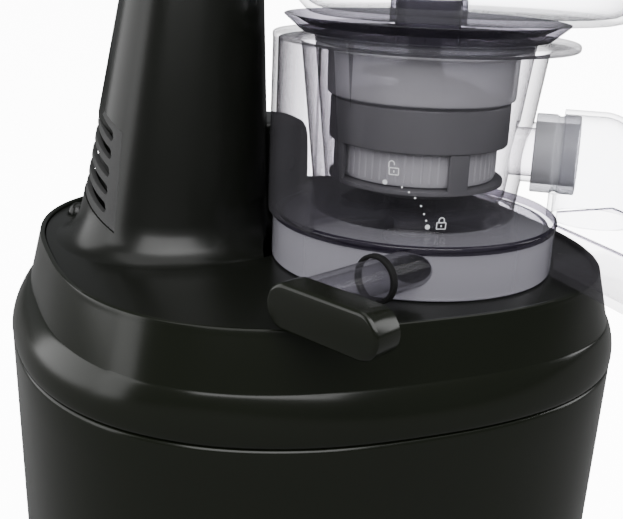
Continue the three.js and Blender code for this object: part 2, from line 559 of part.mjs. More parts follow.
function bowl() {
  const inner = DRUM.radius - DRUM.wall;
  const under = DRUM.high - DRUM.plate;
  const hub = { outer: 13, bore: 10.3, low: 16 };
  const floorLow = CUP.floor - CUP.plate;
  const drum = turned([
    [inner, DRUM.low], [DRUM.radius, DRUM.low], [DRUM.radius, under], [DRUM.radius + DRUM.band, under + 0.6],
    [DRUM.radius + DRUM.band, DRUM.high - 0.6], [DRUM.radius, DRUM.high], [cupOuter(DRUM.high), DRUM.high],
    [cupOuter(CUP.floor), CUP.floor], [cupOuter(RING.z - RING.thick), RING.z - RING.thick],
    [RING.radius, RING.z - RING.thick], [RING.radius, RING.z - 1], [RING.radius - 1, RING.z],
    [cupInner(RING.z), RING.z], [cupInner(CUP.floor), CUP.floor], [hub.bore, CUP.floor], [hub.bore, hub.low],
    [hub.outer, hub.low], [hub.outer, floorLow], [cupInner(CUP.floor) - 1, floorLow],
    [cupInner(CUP.floor) + 1, under], [inner, under],
  ], { closed: true });
  const ringLow = RING.z - 1;
  const panel = arcBlock(
    RING.radius - PANEL.thick, RING.radius - 0.2, PANEL.from, PANEL.to, DRUM.high - 1, ringLow,
  );
  const ribLow = DRUM.high + PANEL.drain;
  const ribs = [PANEL.from + 2, PANEL.to - 2].map((angle) =>
    arcBlock(CUP.lowOuter - 1, RING.radius - 1, angle - 1.2, angle + 1.2, ribLow, ringLow, { steps: 2 }));
  const spigot = rod(PULP.spigot, CUP.lowInner + 4, 58, PULP_ANGLE, PULP.z);
  const spout = spoutTurned(rod(SPOUT.outer, SPOUT_END, SPOUT.root, 0, SPOUT.z, { y: SPOUT.y }));
  const stub = disc(1.5, CUP.floor - 1, BOWL_GEARS.high, { ...IDLER_AT, sides: 14 });
  const chamber = ringOf(hub.outer + 6, inner - 0.01, DRUM.low - 1, under - 0.01);
  const hollow = turned([
    [0, CUP.floor], [cupInner(CUP.floor), CUP.floor], [cupInner(RING.z), RING.z], [0, RING.z],
  ]);
  const body = join(drum, cut(join(panel, ribs[0], ribs[1], spigot), hollow), cut(spout, chamber), stub);
  const spoutBore = spoutTurned(rod(SPOUT.bore, SPOUT_END - 1, SPOUT.root, 0, SPOUT.z, { y: SPOUT.y }));
  const pulpBore = rod(PULP.bore, CUP.lowInner - 6, 60, PULP_ANGLE, PULP.z);
  const juiceSlot = arcBlock(28, 36, 215, 250, floorLow - 2, CUP.floor + 1);
  return cut(body, spoutBore, pulpBore, juiceSlot);
}

function bowlFloor() {
  const outer = DRUM.radius - DRUM.wall - GAP;
  const plate = turned([
    [15, DRUM.low], [outer, DRUM.low], [outer, 3], [17, 3], [17, 15], [15, 15],
  ], { closed: true });
  const stops = [20, 75, 130, 185, 240, 300].map((angle) =>
    arcBlock(22, 52, angle - 1.5, angle + 1.5, 2.5, 12, { steps: 2 }));
  return join(plate, ...stops);
}

const bowlSeal = () => ringOf(AUGER.shaft + GAP, 10, 19, 26, { sides: SMALL_ROUND });

function strainer() {
  const { radius, wall, low, collar, rim, rimThick, slots } = STRAINER;
  const hub = 12;
  const rimLow = STRAINER_TOP - rimThick;
  const shell = turned([
    [hub, low], [radius, low], [radius, COLLAR_LOW], [collar, COLLAR_LOW], [collar + 0.4, rimLow - 0.2],
    [rim, rimLow], [rim, STRAINER_TOP], [collar - wall, STRAINER_TOP], [collar - wall, COLLAR_LOW + 2],
    [radius - wall, COLLAR_LOW - 2], [radius - wall, low + wall], [hub, low + wall],
  ], { closed: true });
  const openings = Array.from({ length: slots }, (_, i) => {
    const middle = (i * 360) / slots;
    const [from, to] = [middle - 3.2, middle + 3.2];
    return arcBlock(radius - 4, radius + 2, from, to, low + 5, COLLAR_LOW - 4, { steps: 1 });
  });
  return cut(shell, ...openings);
}

function wiperFrame() {
  const { inner, outer, posts } = WIPER;
  const { ring, module, low, high } = BOWL_GEARS;
  const web = 1.6;
  const band = ringOf(inner, outer, BAND_LOW, BAND_HIGH);
  const disk = ringOf(22, outer - 0.8, high - 0.4, high + web);
  const rim = cut(
    disc((ring * module) / 2 + 4.2, low, high, { sides: MIDDLE_ROUND }),
    prism(gearOutline(ring, module, { turn: Math.PI / 2, inside: true }), low - 1, high + 1),
  );
  const uprights = Array.from({ length: posts }, (_, i) => {
    const middle = (i * 360) / posts;
    return arcBlock(inner, outer - 0.8, middle - 7, middle + 7, high + 0.5, BAND_LOW + 1, { steps: 3 });
  });
  const drains = [45, 135, 225, 315].map((middle) =>
    arcBlock(26, 33, middle - 30, middle + 30, high - 1, high + 3, { steps: 3 }));
  return cut(join(band, disk, rim, ...uprights), ...drains);
}

const wiperBlade = (degrees) => arcBlock(
  STRAINER.radius + GAP, WIPER.inner - GAP, degrees - 3, degrees + 3, STRAINER.low + 3, BAND_HIGH - 1,
  { steps: 2 },
);

function wiperIdler() {
  const { idler, module, low, high } = BOWL_GEARS;
  const turn = facing(-Math.PI / 2, idler, true);
  const bore = disc(1.8, low - 1, high + 1, { ...IDLER_AT, sides: 14 });
  return cut(gear(idler, module, low, high - 0.8, IDLER_AT, turn), bore);
}

// The screw of the auger: a rib that winds round the core and thins towards its edge.
function flight() {
  const { flight: edge, core, low, turns } = AUGER;
  const steps = Math.round(turns * 15);
  const outlines = Array.from({ length: steps + 1 }, (_, i) => {
    const share = i / steps;
    const t = share * turns * TAU;
    const z = low + 3 + (AUGER_HIGH - low - 9) * share;
    const reach = edge - 6 * share;
    const corner = (r, up) => [r * Math.cos(t), r * Math.sin(t), z + up];
    return [corner(core - 5, -3), corner(reach, -1), corner(reach, 1), corner(core - 5, 3)];
  });
  return skinned(outlines);
}

function auger() {
  const { core, shaft, low, pin: pinRadius, pinHeight } = AUGER;
  const high = AUGER_HIGH;
  const body = turned([
    [0, 12], [shaft, 12], [shaft, low - 0.7], [20, low - 0.7], [20, low + 3], [core, low + 12],
    [core - 3, high - 8], [pinRadius + 2, high], [pinRadius, high], [pinRadius, high + pinHeight],
    [0, high + pinHeight],
  ], { sides: MIDDLE_ROUND });
  const { sun, module, low: gearLow, high: gearHigh } = BOWL_GEARS;
  const turn = facing(Math.PI / 2, sun, false);
  const teeth = gear(sun, module, gearLow, gearHigh, { x: 0, y: 0 }, turn);
  const socket = disc((SPINDLE.hex + 2 * GAP) / Math.sqrt(3), 11, SPINDLE.top + 1.5, { sides: 6 });
  return cut(join(body, teeth, flight()), socket);
}

const spoutRing = () => {
  const middle = DRUM_EDGE - SPOUT.ringAt;
  const ring = rod(SPOUT.outer + SPOUT.ring, middle - 1.6, middle + 1.6, 0, SPOUT.z, { y: SPOUT.y });
  return spoutTurned(cut(ring, rod(SPOUT.outer + GAP, middle - 4, middle + 4, 0, SPOUT.z, { y: SPOUT.y })));
};

// The hollow arm that pours: level it lets juice run to its tip, upright it holds the juice back.
function dripLever() {
  const back = SPOUT_END - GAP;
  const face = back - LEVER.thick;
  const outline = (radius) =>
    stadium({ x: SPOUT.y - LEVER.length, y: SPOUT.z }, { x: SPOUT.y, y: SPOUT.z }, radius, 9);
  const at = (x, radius) => outline(radius).map(([y, z]) => [x, y, z]);
  const body = skinned([
    at(face, LEVER.radius - 1.2), at(face + 1.2, LEVER.radius),
    at(back - 0.8, LEVER.radius), at(back, LEVER.radius - 0.8),
  ]);
  const channel = skinned([at(face + 2.5, LEVER.radius - 3), at(back - 2.5, LEVER.radius - 3)]);
  const inlet = rod(SPOUT.bore, back - 5, back + 2, 0, SPOUT.z, { y: SPOUT.y });
  const tip = SPOUT.y - LEVER.length;
  const outlet = box(face + 2.5, back - 2.5, tip - 5, tip + 5, SPOUT.z - LEVER.radius - 2, SPOUT.z);
  return spoutTurned(cut(body, channel, inlet, outlet));
}

function pulpSleeve() {
  const start = cupOuter(PULP.z + PULP.sleeve) + GAP;
  return cut(rod(PULP.sleeve, start, PULP.sleeveEnd, PULP_ANGLE, PULP.z, { sides: MIDDLE_ROUND }),
    rod(PULP.spigot + GAP, start - 5, PULP.sleeveEnd + 5, PULP_ANGLE, PULP.z, { sides: SMALL_ROUND }));
}

function pulpHood() {
  const start = PULP.sleeveEnd - 7;
  const corner = towards({ x: 0, y: 0 }, PULP.corner, PULP_ANGLE);
  const body = (radius, back, foot) => {
    const ball = new THREE.SphereGeometry(radius, MIDDLE_ROUND, MIDDLE_ROUND / 2).rotateX(Math.PI / 2);
    ball.translate(corner.x, corner.y, PULP.z);
    return join(
      rod(radius, back, PULP.corner, PULP_ANGLE, PULP.z, { sides: MIDDLE_ROUND }),
      solid(ball),
      disc(radius, foot, PULP.z, { ...corner, sides: MIDDLE_ROUND }),
    );
  };
  return cut(body(PULP.hood, start, CHUTE.high + 1), body(PULP.hood - 2.1, start - 5, CHUTE.high - 5));
}

function pulpChute() {
  const { left, right, back, front, low, high, wall } = CHUTE;
  const outer = box(left, right, front, back, low, high);
  const hollow = box(left + wall, right - wall, front - 1, back - wall, low + wall, high + 1);
  return cut(outer, hollow, disc(DRUM.radius + DRUM.band + 0.6, low - 5, high + 5));
}

const FEED_AT = towards({ x: 0, y: 0 }, FEED.away, THREE.MathUtils.degToRad(FEED.angle));

function lid() {
  const plate = LID_LOW + LID.plate;
  const dish = turned([
    [0, LID_LOW], [LID.foot, LID_LOW], [LID.rim, LID_TOP], [LID.rim - LID.wall, LID_TOP],
    [LID.foot - LID.wall, plate], [0, plate],
  ]);
  const bush = disc(AUGER.pin + 3, AUGER_HIGH + GAP + 1, plate - 1, { sides: SMALL_ROUND });
  const tube = disc(FEED.bore + FEED.wall, plate - 1, FEED_TOP, { ...FEED_AT, sides: MIDDLE_ROUND });
  const bore = disc(FEED.bore, LID_LOW - 5, FEED_TOP + 5, { ...FEED_AT, sides: MIDDLE_ROUND });
  const pinTop = AUGER_HIGH + AUGER.pinHeight;
  const socket = disc(AUGER.pin + GAP, AUGER_HIGH - 5, pinTop + GAP * 3, { sides: SMALL_ROUND });
  return cut(join(dish, bush, tube), bore, socket);
}

const lidGasket = () => ringOf(cupInner(RING.z) - 5, cupInner(RING.z) - 1, STRAINER_TOP + 0.4, LID_LOW - GAP);

function hopperTray() {
  const low = LID_TOP + GAP;
  const at = (share, grow, z) => {
    const a = HOPPER.a + (HOPPER.topA - HOPPER.a) * share;
    const b = HOPPER.b + (HOPPER.topB - HOPPER.b) * share;
    return oval({ a, b, x: HOPPER.x }, z, grow);
  };
  const body = skinned([
    at(0, -6, low), at(0, 0, low + 3), at(0.75, 0, low + HOPPER.height * 0.6), at(1, 0, low + HOPPER.height),
  ]);
  const hollow = skinned([
    at(0, -6 - HOPPER.wall, low + HOPPER.wall), at(0, -HOPPER.wall, low + 4.6),
    at(0.75, -HOPPER.wall, low + HOPPER.height * 0.6), at(1, -HOPPER.wall, low + HOPPER.height + 0.01),
  ]);
  const tubeHole = disc(FEED.bore + FEED.wall + GAP, low - 5, low + 10, { ...FEED_AT, sides: MIDDLE_ROUND });
  return cut(body, hollow, tubeHole);
}

const pusher = () => {
  const r = FEED.bore - 0.8;
  return turned([
    [0, PUSHER_LOW], [r - 2, PUSHER_LOW], [r, PUSHER_LOW + 2], [r, PUSHER_HIGH], [0, PUSHER_HIGH],
  ], { ...FEED_AT, sides: MIDDLE_ROUND });
};

function pusherCap() {
  const low = PUSHER_HIGH + GAP;
  const { cap, capHeight } = PUSHER;
  return turned([
    [0, low], [cap - 8, low], [cap - 6, low + 4], [cap, low + 9], [cap, low + capHeight - 4],
    [cap - 4, low + capHeight], [0, low + capHeight],
  ], { ...FEED_AT, sides: MIDDLE_ROUND });
}

// ---- Finishes and assembly ----------------------------------------------------------------------------
const FINISHES = {
  gloss: ["#10140f", 0.15, 0],
  tower: ["#161717", 0.25, 0],
  matte: ["#232423", 0.7, 0],
  rubber: ["#151515", 0.9, 0],
  steel: ["#9a9c9e", 0.35, 1],
  copper: ["#8a5a38", 0.5, 0.6],
  nylon: ["#d8d6cc", 0.5, 0],
  bronze: ["#a4824a", 0.4, 1],
  board: ["#2c5a3a", 0.6, 0],
  smoke: ["#5a5668", 0.05, 0],
  clear: ["#d5d8dc", 0.05, 0],
  frosted: ["#8f9096", 0.5, 0],
  band: ["#4c4d50", 0.5, 0],
  auger: ["#77777c", 0.45, 0],
  silicone: ["#c8c8cc", 0.6, 0],
};

function mesh(name, shape, finish) {
  const made = shape.getMesh();
  const geometry = new THREE.BufferGeometry();
  geometry.setAttribute("position", new THREE.BufferAttribute(made.vertProperties, 3));
  geometry.setIndex(new THREE.BufferAttribute(made.triVerts, 1));
  const [color, roughness, metalness] = FINISHES[finish];
  const part = new THREE.Mesh(geometry, new THREE.MeshStandardMaterial({ color, roughness, metalness }));
  part.name = name;
  return part;
}

const base = new THREE.Group();
base.add(
  mesh("base_skirt", baseSkirt(), "gloss"),
  mesh("shoulder_cover", shoulderCover(), "gloss"),
  mesh("tower_housing", towerHousing(), "tower"),
  mesh("vent_grille", ventGrille(), "matte"),
  mesh("tower_cap", towerCap(), "tower"),
  mesh("base_plate", basePlate(), "matte"),
  mesh("motor_can", motorCan(), "steel"),
  mesh("motor_rotor", motorRotor(), "copper"),
  mesh("motor_fan", motorFan(), "nylon"),
  mesh("gearbox_tray", gearboxTray(), "matte"),
  mesh("gearbox_lid", gearboxLid(), "matte"),
  mesh("first_gear", firstGear(), "nylon"),
  mesh("second_gear", secondGear(), "nylon"),
  mesh("drive_spindle", driveSpindle(), "steel"),
  mesh("spindle_bush", spindleBush(), "bronze"),
  mesh("spindle_seal", spindleSeal(), "silicone"),
  mesh("control_board", controlBoard(), "board"),
  mesh("switch_bezel", switchBezel(), "matte"),
  mesh("rocker_switch", rockerSwitch(), "matte"),
  mesh("cord_gland", cordGland(), "rubber"),
  mesh("interlock_button", interlockButton(), "matte"),
);
const corners = [[1, 1], [-1, 1], [-1, -1], [1, -1]];
corners.forEach(([sx, sy], i) => {
  base.add(mesh("foot_" + (i + 1), foot({ x: sx * FOOT.x, y: sy * FOOT.y }), "rubber"));
});
POSTS.forEach((at, i) => base.add(mesh("base_screw_" + (i + 1), screw(at), "steel")));

const bowlSet = new THREE.Group();
bowlSet.position.set(BOWL_AT.x, BOWL_AT.y, DECK_Z);
bowlSet.add(
  mesh("bowl", bowl(), "smoke"),
  mesh("bowl_floor", bowlFloor(), "smoke"),
  mesh("bowl_seal", bowlSeal(), "silicone"),
  mesh("strainer", strainer(), "frosted"),
  mesh("wiper_frame", wiperFrame(), "band"),
  mesh("wiper_blade_1", wiperBlade(0), "silicone"),
  mesh("wiper_blade_2", wiperBlade(180), "silicone"),
  mesh("wiper_idler", wiperIdler(), "nylon"),
  mesh("auger", auger(), "auger"),
  mesh("spout_ring", spoutRing(), "rubber"),
  mesh("drip_lever", dripLever(), "gloss"),
  mesh("pulp_sleeve", pulpSleeve(), "silicone"),
  mesh("pulp_hood", pulpHood(), "clear"),
  mesh("pulp_chute", pulpChute(), "smoke"),
  mesh("lid", lid(), "smoke"),
  mesh("lid_gasket", lidGasket(), "silicone"),
  mesh("hopper_tray", hopperTray(), "clear"),
  mesh("pusher", pusher(), "frosted"),
  mesh("pusher_cap", pusherCap(), "gloss"),
);

const juicer = new THREE.Group();
juicer.add(base, bowlSet);
juicer.updateMatrixWorld(true);
const bounds = new THREE.Box3().setFromObject(juicer, true);
const centre = bounds.getCenter(new THREE.Vector3());
juicer.position.set(-centre.x, -centre.y, -bounds.min.z);

export default juicer;
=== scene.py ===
"""Looks of a vertical slow juicer: smooth shells, clear bowl, finishes, lights and camera.

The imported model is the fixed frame. Lengths in the classes are millimetres, in the frame's own
directions, and are turned into metres where a mesh is made.
"""

import logging
import math
from collections.abc import Callable, Iterable, Sequence
from dataclasses import dataclass, field
from enum import Enum

import bmesh
import bpy
import numpy as np
from mathutils import Matrix, Vector


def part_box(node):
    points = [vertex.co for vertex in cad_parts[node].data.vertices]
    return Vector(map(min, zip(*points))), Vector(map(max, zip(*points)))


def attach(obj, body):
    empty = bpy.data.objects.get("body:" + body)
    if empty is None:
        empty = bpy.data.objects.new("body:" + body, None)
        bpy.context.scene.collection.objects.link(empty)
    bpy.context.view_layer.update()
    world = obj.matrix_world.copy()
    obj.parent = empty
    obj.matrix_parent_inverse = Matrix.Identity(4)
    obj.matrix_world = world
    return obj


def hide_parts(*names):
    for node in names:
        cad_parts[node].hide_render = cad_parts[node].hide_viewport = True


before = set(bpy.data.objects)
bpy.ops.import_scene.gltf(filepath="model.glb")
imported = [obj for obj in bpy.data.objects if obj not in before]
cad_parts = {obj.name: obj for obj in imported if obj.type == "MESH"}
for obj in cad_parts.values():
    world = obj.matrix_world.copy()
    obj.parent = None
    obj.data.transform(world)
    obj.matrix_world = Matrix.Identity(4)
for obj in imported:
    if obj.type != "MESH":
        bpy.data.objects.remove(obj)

LOG = logging.getLogger("juicer")
MM = 0.001
TAU = 2 * math.pi
Point = tuple[float, float, float]
Pair = tuple[float, float]


# ---- Shader building -------------------------------------------------------------------------


class Signal:
    """A number that varies over a surface, with arithmetic that adds Math nodes."""

    def __init__(self, recipe: "Recipe", socket: bpy.types.NodeSocket) -> None:
        """Wraps one output socket of a recipe's node tree."""
        self.recipe = recipe
        self.socket = socket

    def _with(self, operation: str, *values: "Signal | float") -> "Signal":
        """A Math node on this signal and other values."""
        return self.recipe.math(operation, *values)

    def __add__(self, other: "Signal | float") -> "Signal":
        """This plus other."""
        return self._with("ADD", self, other)

    __radd__ = __add__

    def __mul__(self, other: "Signal | float") -> "Signal":
        """This times other."""
        return self._with("MULTIPLY", self, other)

    __rmul__ = __mul__

    def __sub__(self, other: "Signal | float") -> "Signal":
        """This minus other."""
        return self._with("SUBTRACT", self, other)

    def __rsub__(self, other: "Signal | float") -> "Signal":
        """Other minus this."""
        return self._with("SUBTRACT", other, self)

    def __gt__(self, other: "Signal | float") -> "Signal":
        """One where this is above other, else zero."""
        return self._with("GREATER_THAN", self, other)

    def __pow__(self, other: "Signal | float") -> "Signal":
        """This to the power of other."""
        return self._with("POWER", self, other)


class Recipe:
    """A material's node tree, built by Python expressions."""

    def __init__(self, name: str) -> None:
        """Starts an empty material.

        Args:
            name: the material's name.
        """
        self.material = bpy.data.materials.new(name)
        self.material.use_nodes = True
        self.tree = self.material.node_tree
        self.tree.nodes.clear()

    def node(
        self, kind: str, settings: dict | None = None, sockets: dict | None = None
    ) -> bpy.types.Node:
        """Adds a node, sets its options first and then its sockets.

        Args:
            kind: the node's type name, without the ShaderNode prefix.
            settings: attributes such as a Math node's operation.
            sockets: values, signals or sockets by input name or index.

        Returns:
            The node.
        """
        made = self.tree.nodes.new("ShaderNode" + kind)
        for key, value in (settings or {}).items():
            setattr(made, key, value)
        for key, value in (sockets or {}).items():
            if isinstance(value, Signal):
                value = value.socket
            if isinstance(value, bpy.types.NodeSocket):
                self.tree.links.new(value, made.inputs[key])
            else:
                made.inputs[key].default_value = value
        return made

    def math(self, operation: str, *values: Signal | float) -> Signal:
        """A Math node on one or two values."""
        sockets = dict(enumerate(values))
        return Signal(self, self.node("Math", {"operation": operation}, sockets).outputs[0])

    def place(self, stretch: Point = (1, 1, 1)) -> bpy.types.NodeSocket:
        """Object coordinates in metres, scaled along each axis."""
        coords = self.node("TexCoord").outputs["Object"]
        return self.node("Mapping", None, {"Vector": coords, "Scale": stretch}).outputs[0]

    def noise(self, scale: float, detail: float = 2, stretch: Point = (1, 1, 1)) -> Signal:
        """Smooth noise from zero to one.

        Args:
            scale: waves per metre.
            detail: octaves.
            stretch: scale of each axis, for streaks.

        Returns:
            The noise.
        """
        sockets = {"Vector": self.place(stretch), "Scale": scale, "Detail": detail}
        return Signal(self, self.node("TexNoise", None, sockets).outputs[0])

    def mix(self, share: Signal, low: Point, high: Point) -> bpy.types.NodeSocket:
        """A colour between low and high."""
        factor, first, second, result = 0, 6, 7, 2  # a colour Mix node's socket numbers
        sockets = {factor: share, first: (*low, 1), second: (*high, 1)}
        return self.node("Mix", {"data_type": "RGBA"}, sockets).outputs[result]

    def bump(self, height: Signal, depth: float) -> bpy.types.NodeSocket:
        """A normal from a height.

        Args:
            height: zero to one.
            depth: millimetres from the lowest to the highest point.

        Returns:
            The normal's socket.
        """
        sockets = {"Strength": 1.0, "Distance": depth * MM, "Height": height}
        return self.node("Bump", None, sockets).outputs[0]

    def output(self, shader: bpy.types.Node) -> bpy.types.Material:
        """Ends the material with a shader."""
        self.node("OutputMaterial", None, {"Surface": shader.outputs[0]})
        return self.material


class Grain(Enum):
    """How a surface is textured, as (waves per metre, stretch, depth in millimetres)."""

    POLISHED = (260, (1, 1, 1), 0.0012)
    MOULDED = (900, (1, 1, 1), 0.006)
    SPARKED = (2600, (1, 1, 1), 0.05)
    RUBBED = (1500, (1, 1, 1), 0.03)
    BRUSHED = (500, (1, 1, 14), 0.01)
    FROSTED = (4200, (1, 1, 1), 0.02)


@dataclass(frozen=True)
class Finish:
    """An opaque finish: a tone that drifts, specks, uneven gloss and a grain."""

    name: str
    slot: str
    colour: Point
    speck: Point
    rough: float
    grain: Grain
    spread: float = 0.06
    specks: float = 0.0
    metallic: float = 0.0
    coat: float = 0.0
    subsurface: float = 0.0
    specular: float = 0.5

    def tint(self, recipe: Recipe) -> bpy.types.NodeSocket:
        """The base colour: a slow drift of tone with small specks on it."""
        drift = recipe.noise(14, 3) * 0.35
        fine = recipe.noise(3800, 1) > 1 - 0.45 * self.specks if self.specks else None
        share = drift if fine is None else recipe.math("MAXIMUM", drift, fine * 0.8)
        return recipe.mix(share, self.colour, self.speck)

    def gloss(self, recipe: Recipe) -> Signal:
        """The roughness, which wanders with wear and handling."""
        return self.rough + (recipe.noise(40, 4) - 0.5) * self.spread

    def material(self) -> bpy.types.Material:
        """The finished material, made once."""
        found = bpy.data.materials.get(self.name)
        if found:
            return found
        recipe = Recipe(self.name)
        waves, stretch, depth = self.grain.value
        sockets = {
            "Base Color": self.tint(recipe),
            "Roughness": self.gloss(recipe),
            "Metallic": self.metallic,
            "Specular IOR Level": self.specular,
            "Coat Weight": self.coat,
            "Coat Roughness": 0.04,
            "Subsurface Weight": self.subsurface,
            "Subsurface Radius": (0.004, 0.004, 0.004),
            "Normal": recipe.bump(recipe.noise(waves, 3, stretch), depth),
        }
        return recipe.output(recipe.node("BsdfPrincipled", None, sockets))


@dataclass(frozen=True)
class Clear(Finish):
    """Clear plastic: tinted to look through, glossy, and darker where it is seen edge on."""

    through: Point = (0.9, 0.9, 0.92)
    facing: float = 0.12
    edge: float = 0.75
    power: float = 3.0

    def material(self) -> bpy.types.Material:
        """The finished material, made once."""
        found = bpy.data.materials.get(self.name)
        if found:
            return found
        recipe = Recipe(self.name)
        waves, stretch, depth = self.grain.value
        sockets = {
            "Base Color": self.tint(recipe),
            "Roughness": self.gloss(recipe),
            "Normal": recipe.bump(recipe.noise(waves, 2, stretch), depth),
        }
        skin = recipe.node("BsdfPrincipled", None, sockets)
        glass = recipe.node("BsdfTransparent", None, {"Color": (*self.through, 1)})
        seen = recipe.node("LayerWeight", None, {"Blend": 0.5}).outputs["Facing"]
        share = self.facing + (Signal(recipe, seen) ** self.power) * self.edge
        mixed = recipe.node("MixShader", None, {0: share, 1: glass.outputs[0], 2: skin.outputs[0]})
        return recipe.output(mixed)


@dataclass(frozen=True)
class Board(Finish):
    """A circuit board: solder mask with tracks."""

    def tint(self, recipe: Recipe) -> bpy.types.NodeSocket:
        """Tracks as the edges of square cells."""
        settings = {"feature": "DISTANCE_TO_EDGE"}
        sockets = {"Vector": recipe.place(), "Scale": 160.0, "Randomness": 0.35}
        cells = Signal(recipe, recipe.node("TexVoronoi", settings, sockets).outputs[0])
        return recipe.mix(1 - (cells > 0.09), self.colour, self.speck)


GLOSS = Finish("green_black_gloss", "base_gloss", (0.0050, 0.0062, 0.0034),
               (0.0063, 0.0077, 0.0044), 0.2, Grain.POLISHED, 0.05, specular=0.3)
TOWER = Finish("black_satin_gloss", "tower_gloss", (0.0050, 0.0056, 0.0043),
               (0.0063, 0.0070, 0.0054), 0.26, Grain.POLISHED, 0.05, specular=0.32)
MATTE = Finish("spark_matte", "matte_black", (0.018, 0.018, 0.018), (0.075, 0.075, 0.075),
               0.62, Grain.SPARKED, 0.1, 0.75)
RUBBER = Finish("soft_rubber", "black_rubber", (0.004, 0.004, 0.004), (0.011, 0.011, 0.011),
                0.72, Grain.RUBBED, 0.1, 0.3, specular=0.15)
STEEL = Finish("turned_steel", "steel", (0.50, 0.51, 0.52), (0.66, 0.67, 0.68), 0.32,
               Grain.BRUSHED, 0.14, 0.2, 1.0)
NYLON = Finish("gear_nylon", "nylon", (0.72, 0.69, 0.60), (0.82, 0.80, 0.73), 0.46,
               Grain.MOULDED, 0.1, subsurface=0.1)
BRONZE = Finish("sintered_bronze", "bronze", (0.46, 0.29, 0.12), (0.62, 0.43, 0.20), 0.42,
                Grain.RUBBED, 0.12, 0.5, 1.0)
BOARD = Board("circuit_board", "circuit_board", (0.012, 0.075, 0.03), (0.10, 0.30, 0.12), 0.35,
              Grain.MOULDED)
AUGER = Finish("auger_grey", "dark_band", (0.20, 0.20, 0.21), (0.27, 0.27, 0.28), 0.38,
               Grain.MOULDED, 0.08, 0.2)
BAND = Finish("basket_grey", "dark_band", (0.17, 0.17, 0.175), (0.22, 0.22, 0.225), 0.42,
              Grain.MOULDED, 0.08, 0.2)
PRINT = Finish("white_print", "silicone", (0.82, 0.82, 0.84), (0.9, 0.9, 0.9), 0.5,
               Grain.MOULDED)
SILICONE = Clear("pale_silicone", "silicone", (0.36, 0.36, 0.38), (0.46, 0.46, 0.48), 0.5,
                 Grain.FROSTED, through=(0.75, 0.75, 0.78), facing=0.55, edge=0.4)
FROSTED = Clear("frosted_grey", "frosted", (0.90, 0.90, 0.91), (0.94, 0.94, 0.95), 0.42,
                Grain.FROSTED, through=(0.90, 0.90, 0.92), facing=0.64, edge=0.30)
SMOKE = Clear("smoke_tint", "smoke_clear", (0.060, 0.058, 0.066), (0.075, 0.073, 0.082), 0.06,
              Grain.POLISHED, through=(0.92, 0.915, 0.93), facing=0.06, edge=0.90, power=2.8)
WALL = Clear("smoke_wall", "smoke_clear", (0.070, 0.068, 0.075), (0.085, 0.083, 0.092), 0.06,
             Grain.POLISHED, through=(0.90, 0.89, 0.91), facing=0.10, edge=0.95, power=2.0)
MILK = Clear("milky_smoke", "smoke_clear", (0.27, 0.265, 0.295), (0.32, 0.315, 0.345), 0.12,
             Grain.FROSTED, through=(0.90, 0.89, 0.92), facing=0.16, edge=0.30, power=2.0)
PEARL = Clear("pearl_smoke", "smoke_clear", (0.46, 0.45, 0.50), (0.52, 0.51, 0.56), 0.2,
              Grain.FROSTED, through=(0.87, 0.86, 0.90), facing=0.36, edge=0.40, power=2.4)
# Painted shade: a near-black copy of the smoke plastic that paints the dark line along the drum's
# top edge and the chute's rim; the plastic there is the same smoke tint as the rest.
EDGE_SHADE = Clear("painted_edge_shade", "smoke_clear", (0.010, 0.008, 0.014), (0.014, 0.012, 0.019), 0.08,
             Grain.POLISHED, through=(0.50, 0.46, 0.56), facing=0.55, edge=0.44, power=1.5)
LID = Clear("deep_smoke", "smoke_clear", (0.030, 0.028, 0.034), (0.038, 0.036, 0.043), 0.07,
            Grain.POLISHED, through=(0.62, 0.60, 0.66), facing=0.28, edge=0.70, power=2.4)
CHUTE = Clear("thin_clear", "smoke_clear", (0.060, 0.058, 0.064), (0.075, 0.072, 0.079), 0.06,
              Grain.POLISHED, through=(0.93, 0.925, 0.935), facing=0.04, edge=0.92, power=3.2)
CRYSTAL = Clear("crystal_clear", "clear", (0.16, 0.16, 0.17), (0.20, 0.20, 0.21), 0.05,
                Grain.POLISHED, through=(0.94, 0.94, 0.95), facing=0.06, edge=0.8, power=3.2)


# ---- Shapes ----------------------------------------------------------------------------------


def soften(
    points: Sequence[Pair], radius: float, closed: bool = False, steps: int = 4
) -> list[Pair]:
    """Rounds the corners of an outline.

    Args:
        points: the outline's corners.
        radius: how far each corner is cut back along its edges, at most.
        closed: True if the last point joins the first.
        steps: pieces of each round.

    Returns:
        The rounded outline.
    """
    count = len(points)
    out: list[Pair] = []
    for i, here in enumerate(points):
        if not closed and i in (0, count - 1):
            out.append(tuple(here))
            continue
        p, a, b = (np.array(points[k % count], float) for k in (i, i - 1, i + 1))
        back, ahead = a - p, b - p
        reach = min(radius, 0.42 * np.linalg.norm(back), 0.42 * np.linalg.norm(ahead))
        start = p + back / np.linalg.norm(back) * reach
        end = p + ahead / np.linalg.norm(ahead) * reach
        for k in range(steps + 1):
            t = k / steps
            out.append(tuple((1 - t) ** 2 * start + 2 * t * (1 - t) * p + t * t * end))
    return out


def oval(
    half: Pair, power: float, centre: Pair, z: float, grow: float = 0, sides: int = 200
) -> list[Point]:
    """A superellipse outline at height z, with half axes half and an exponent."""
    angles = np.arange(sides) / sides * TAU
    bent = lambda v: np.sign(v) * np.abs(v) ** (2 / power)
    x = centre[0] + (half[0] + grow) * bent(np.cos(angles))
    y = centre[1] + (half[1] + grow) * bent(np.sin(angles))
    return [(float(a), float(b), z) for a, b in zip(x, y)]


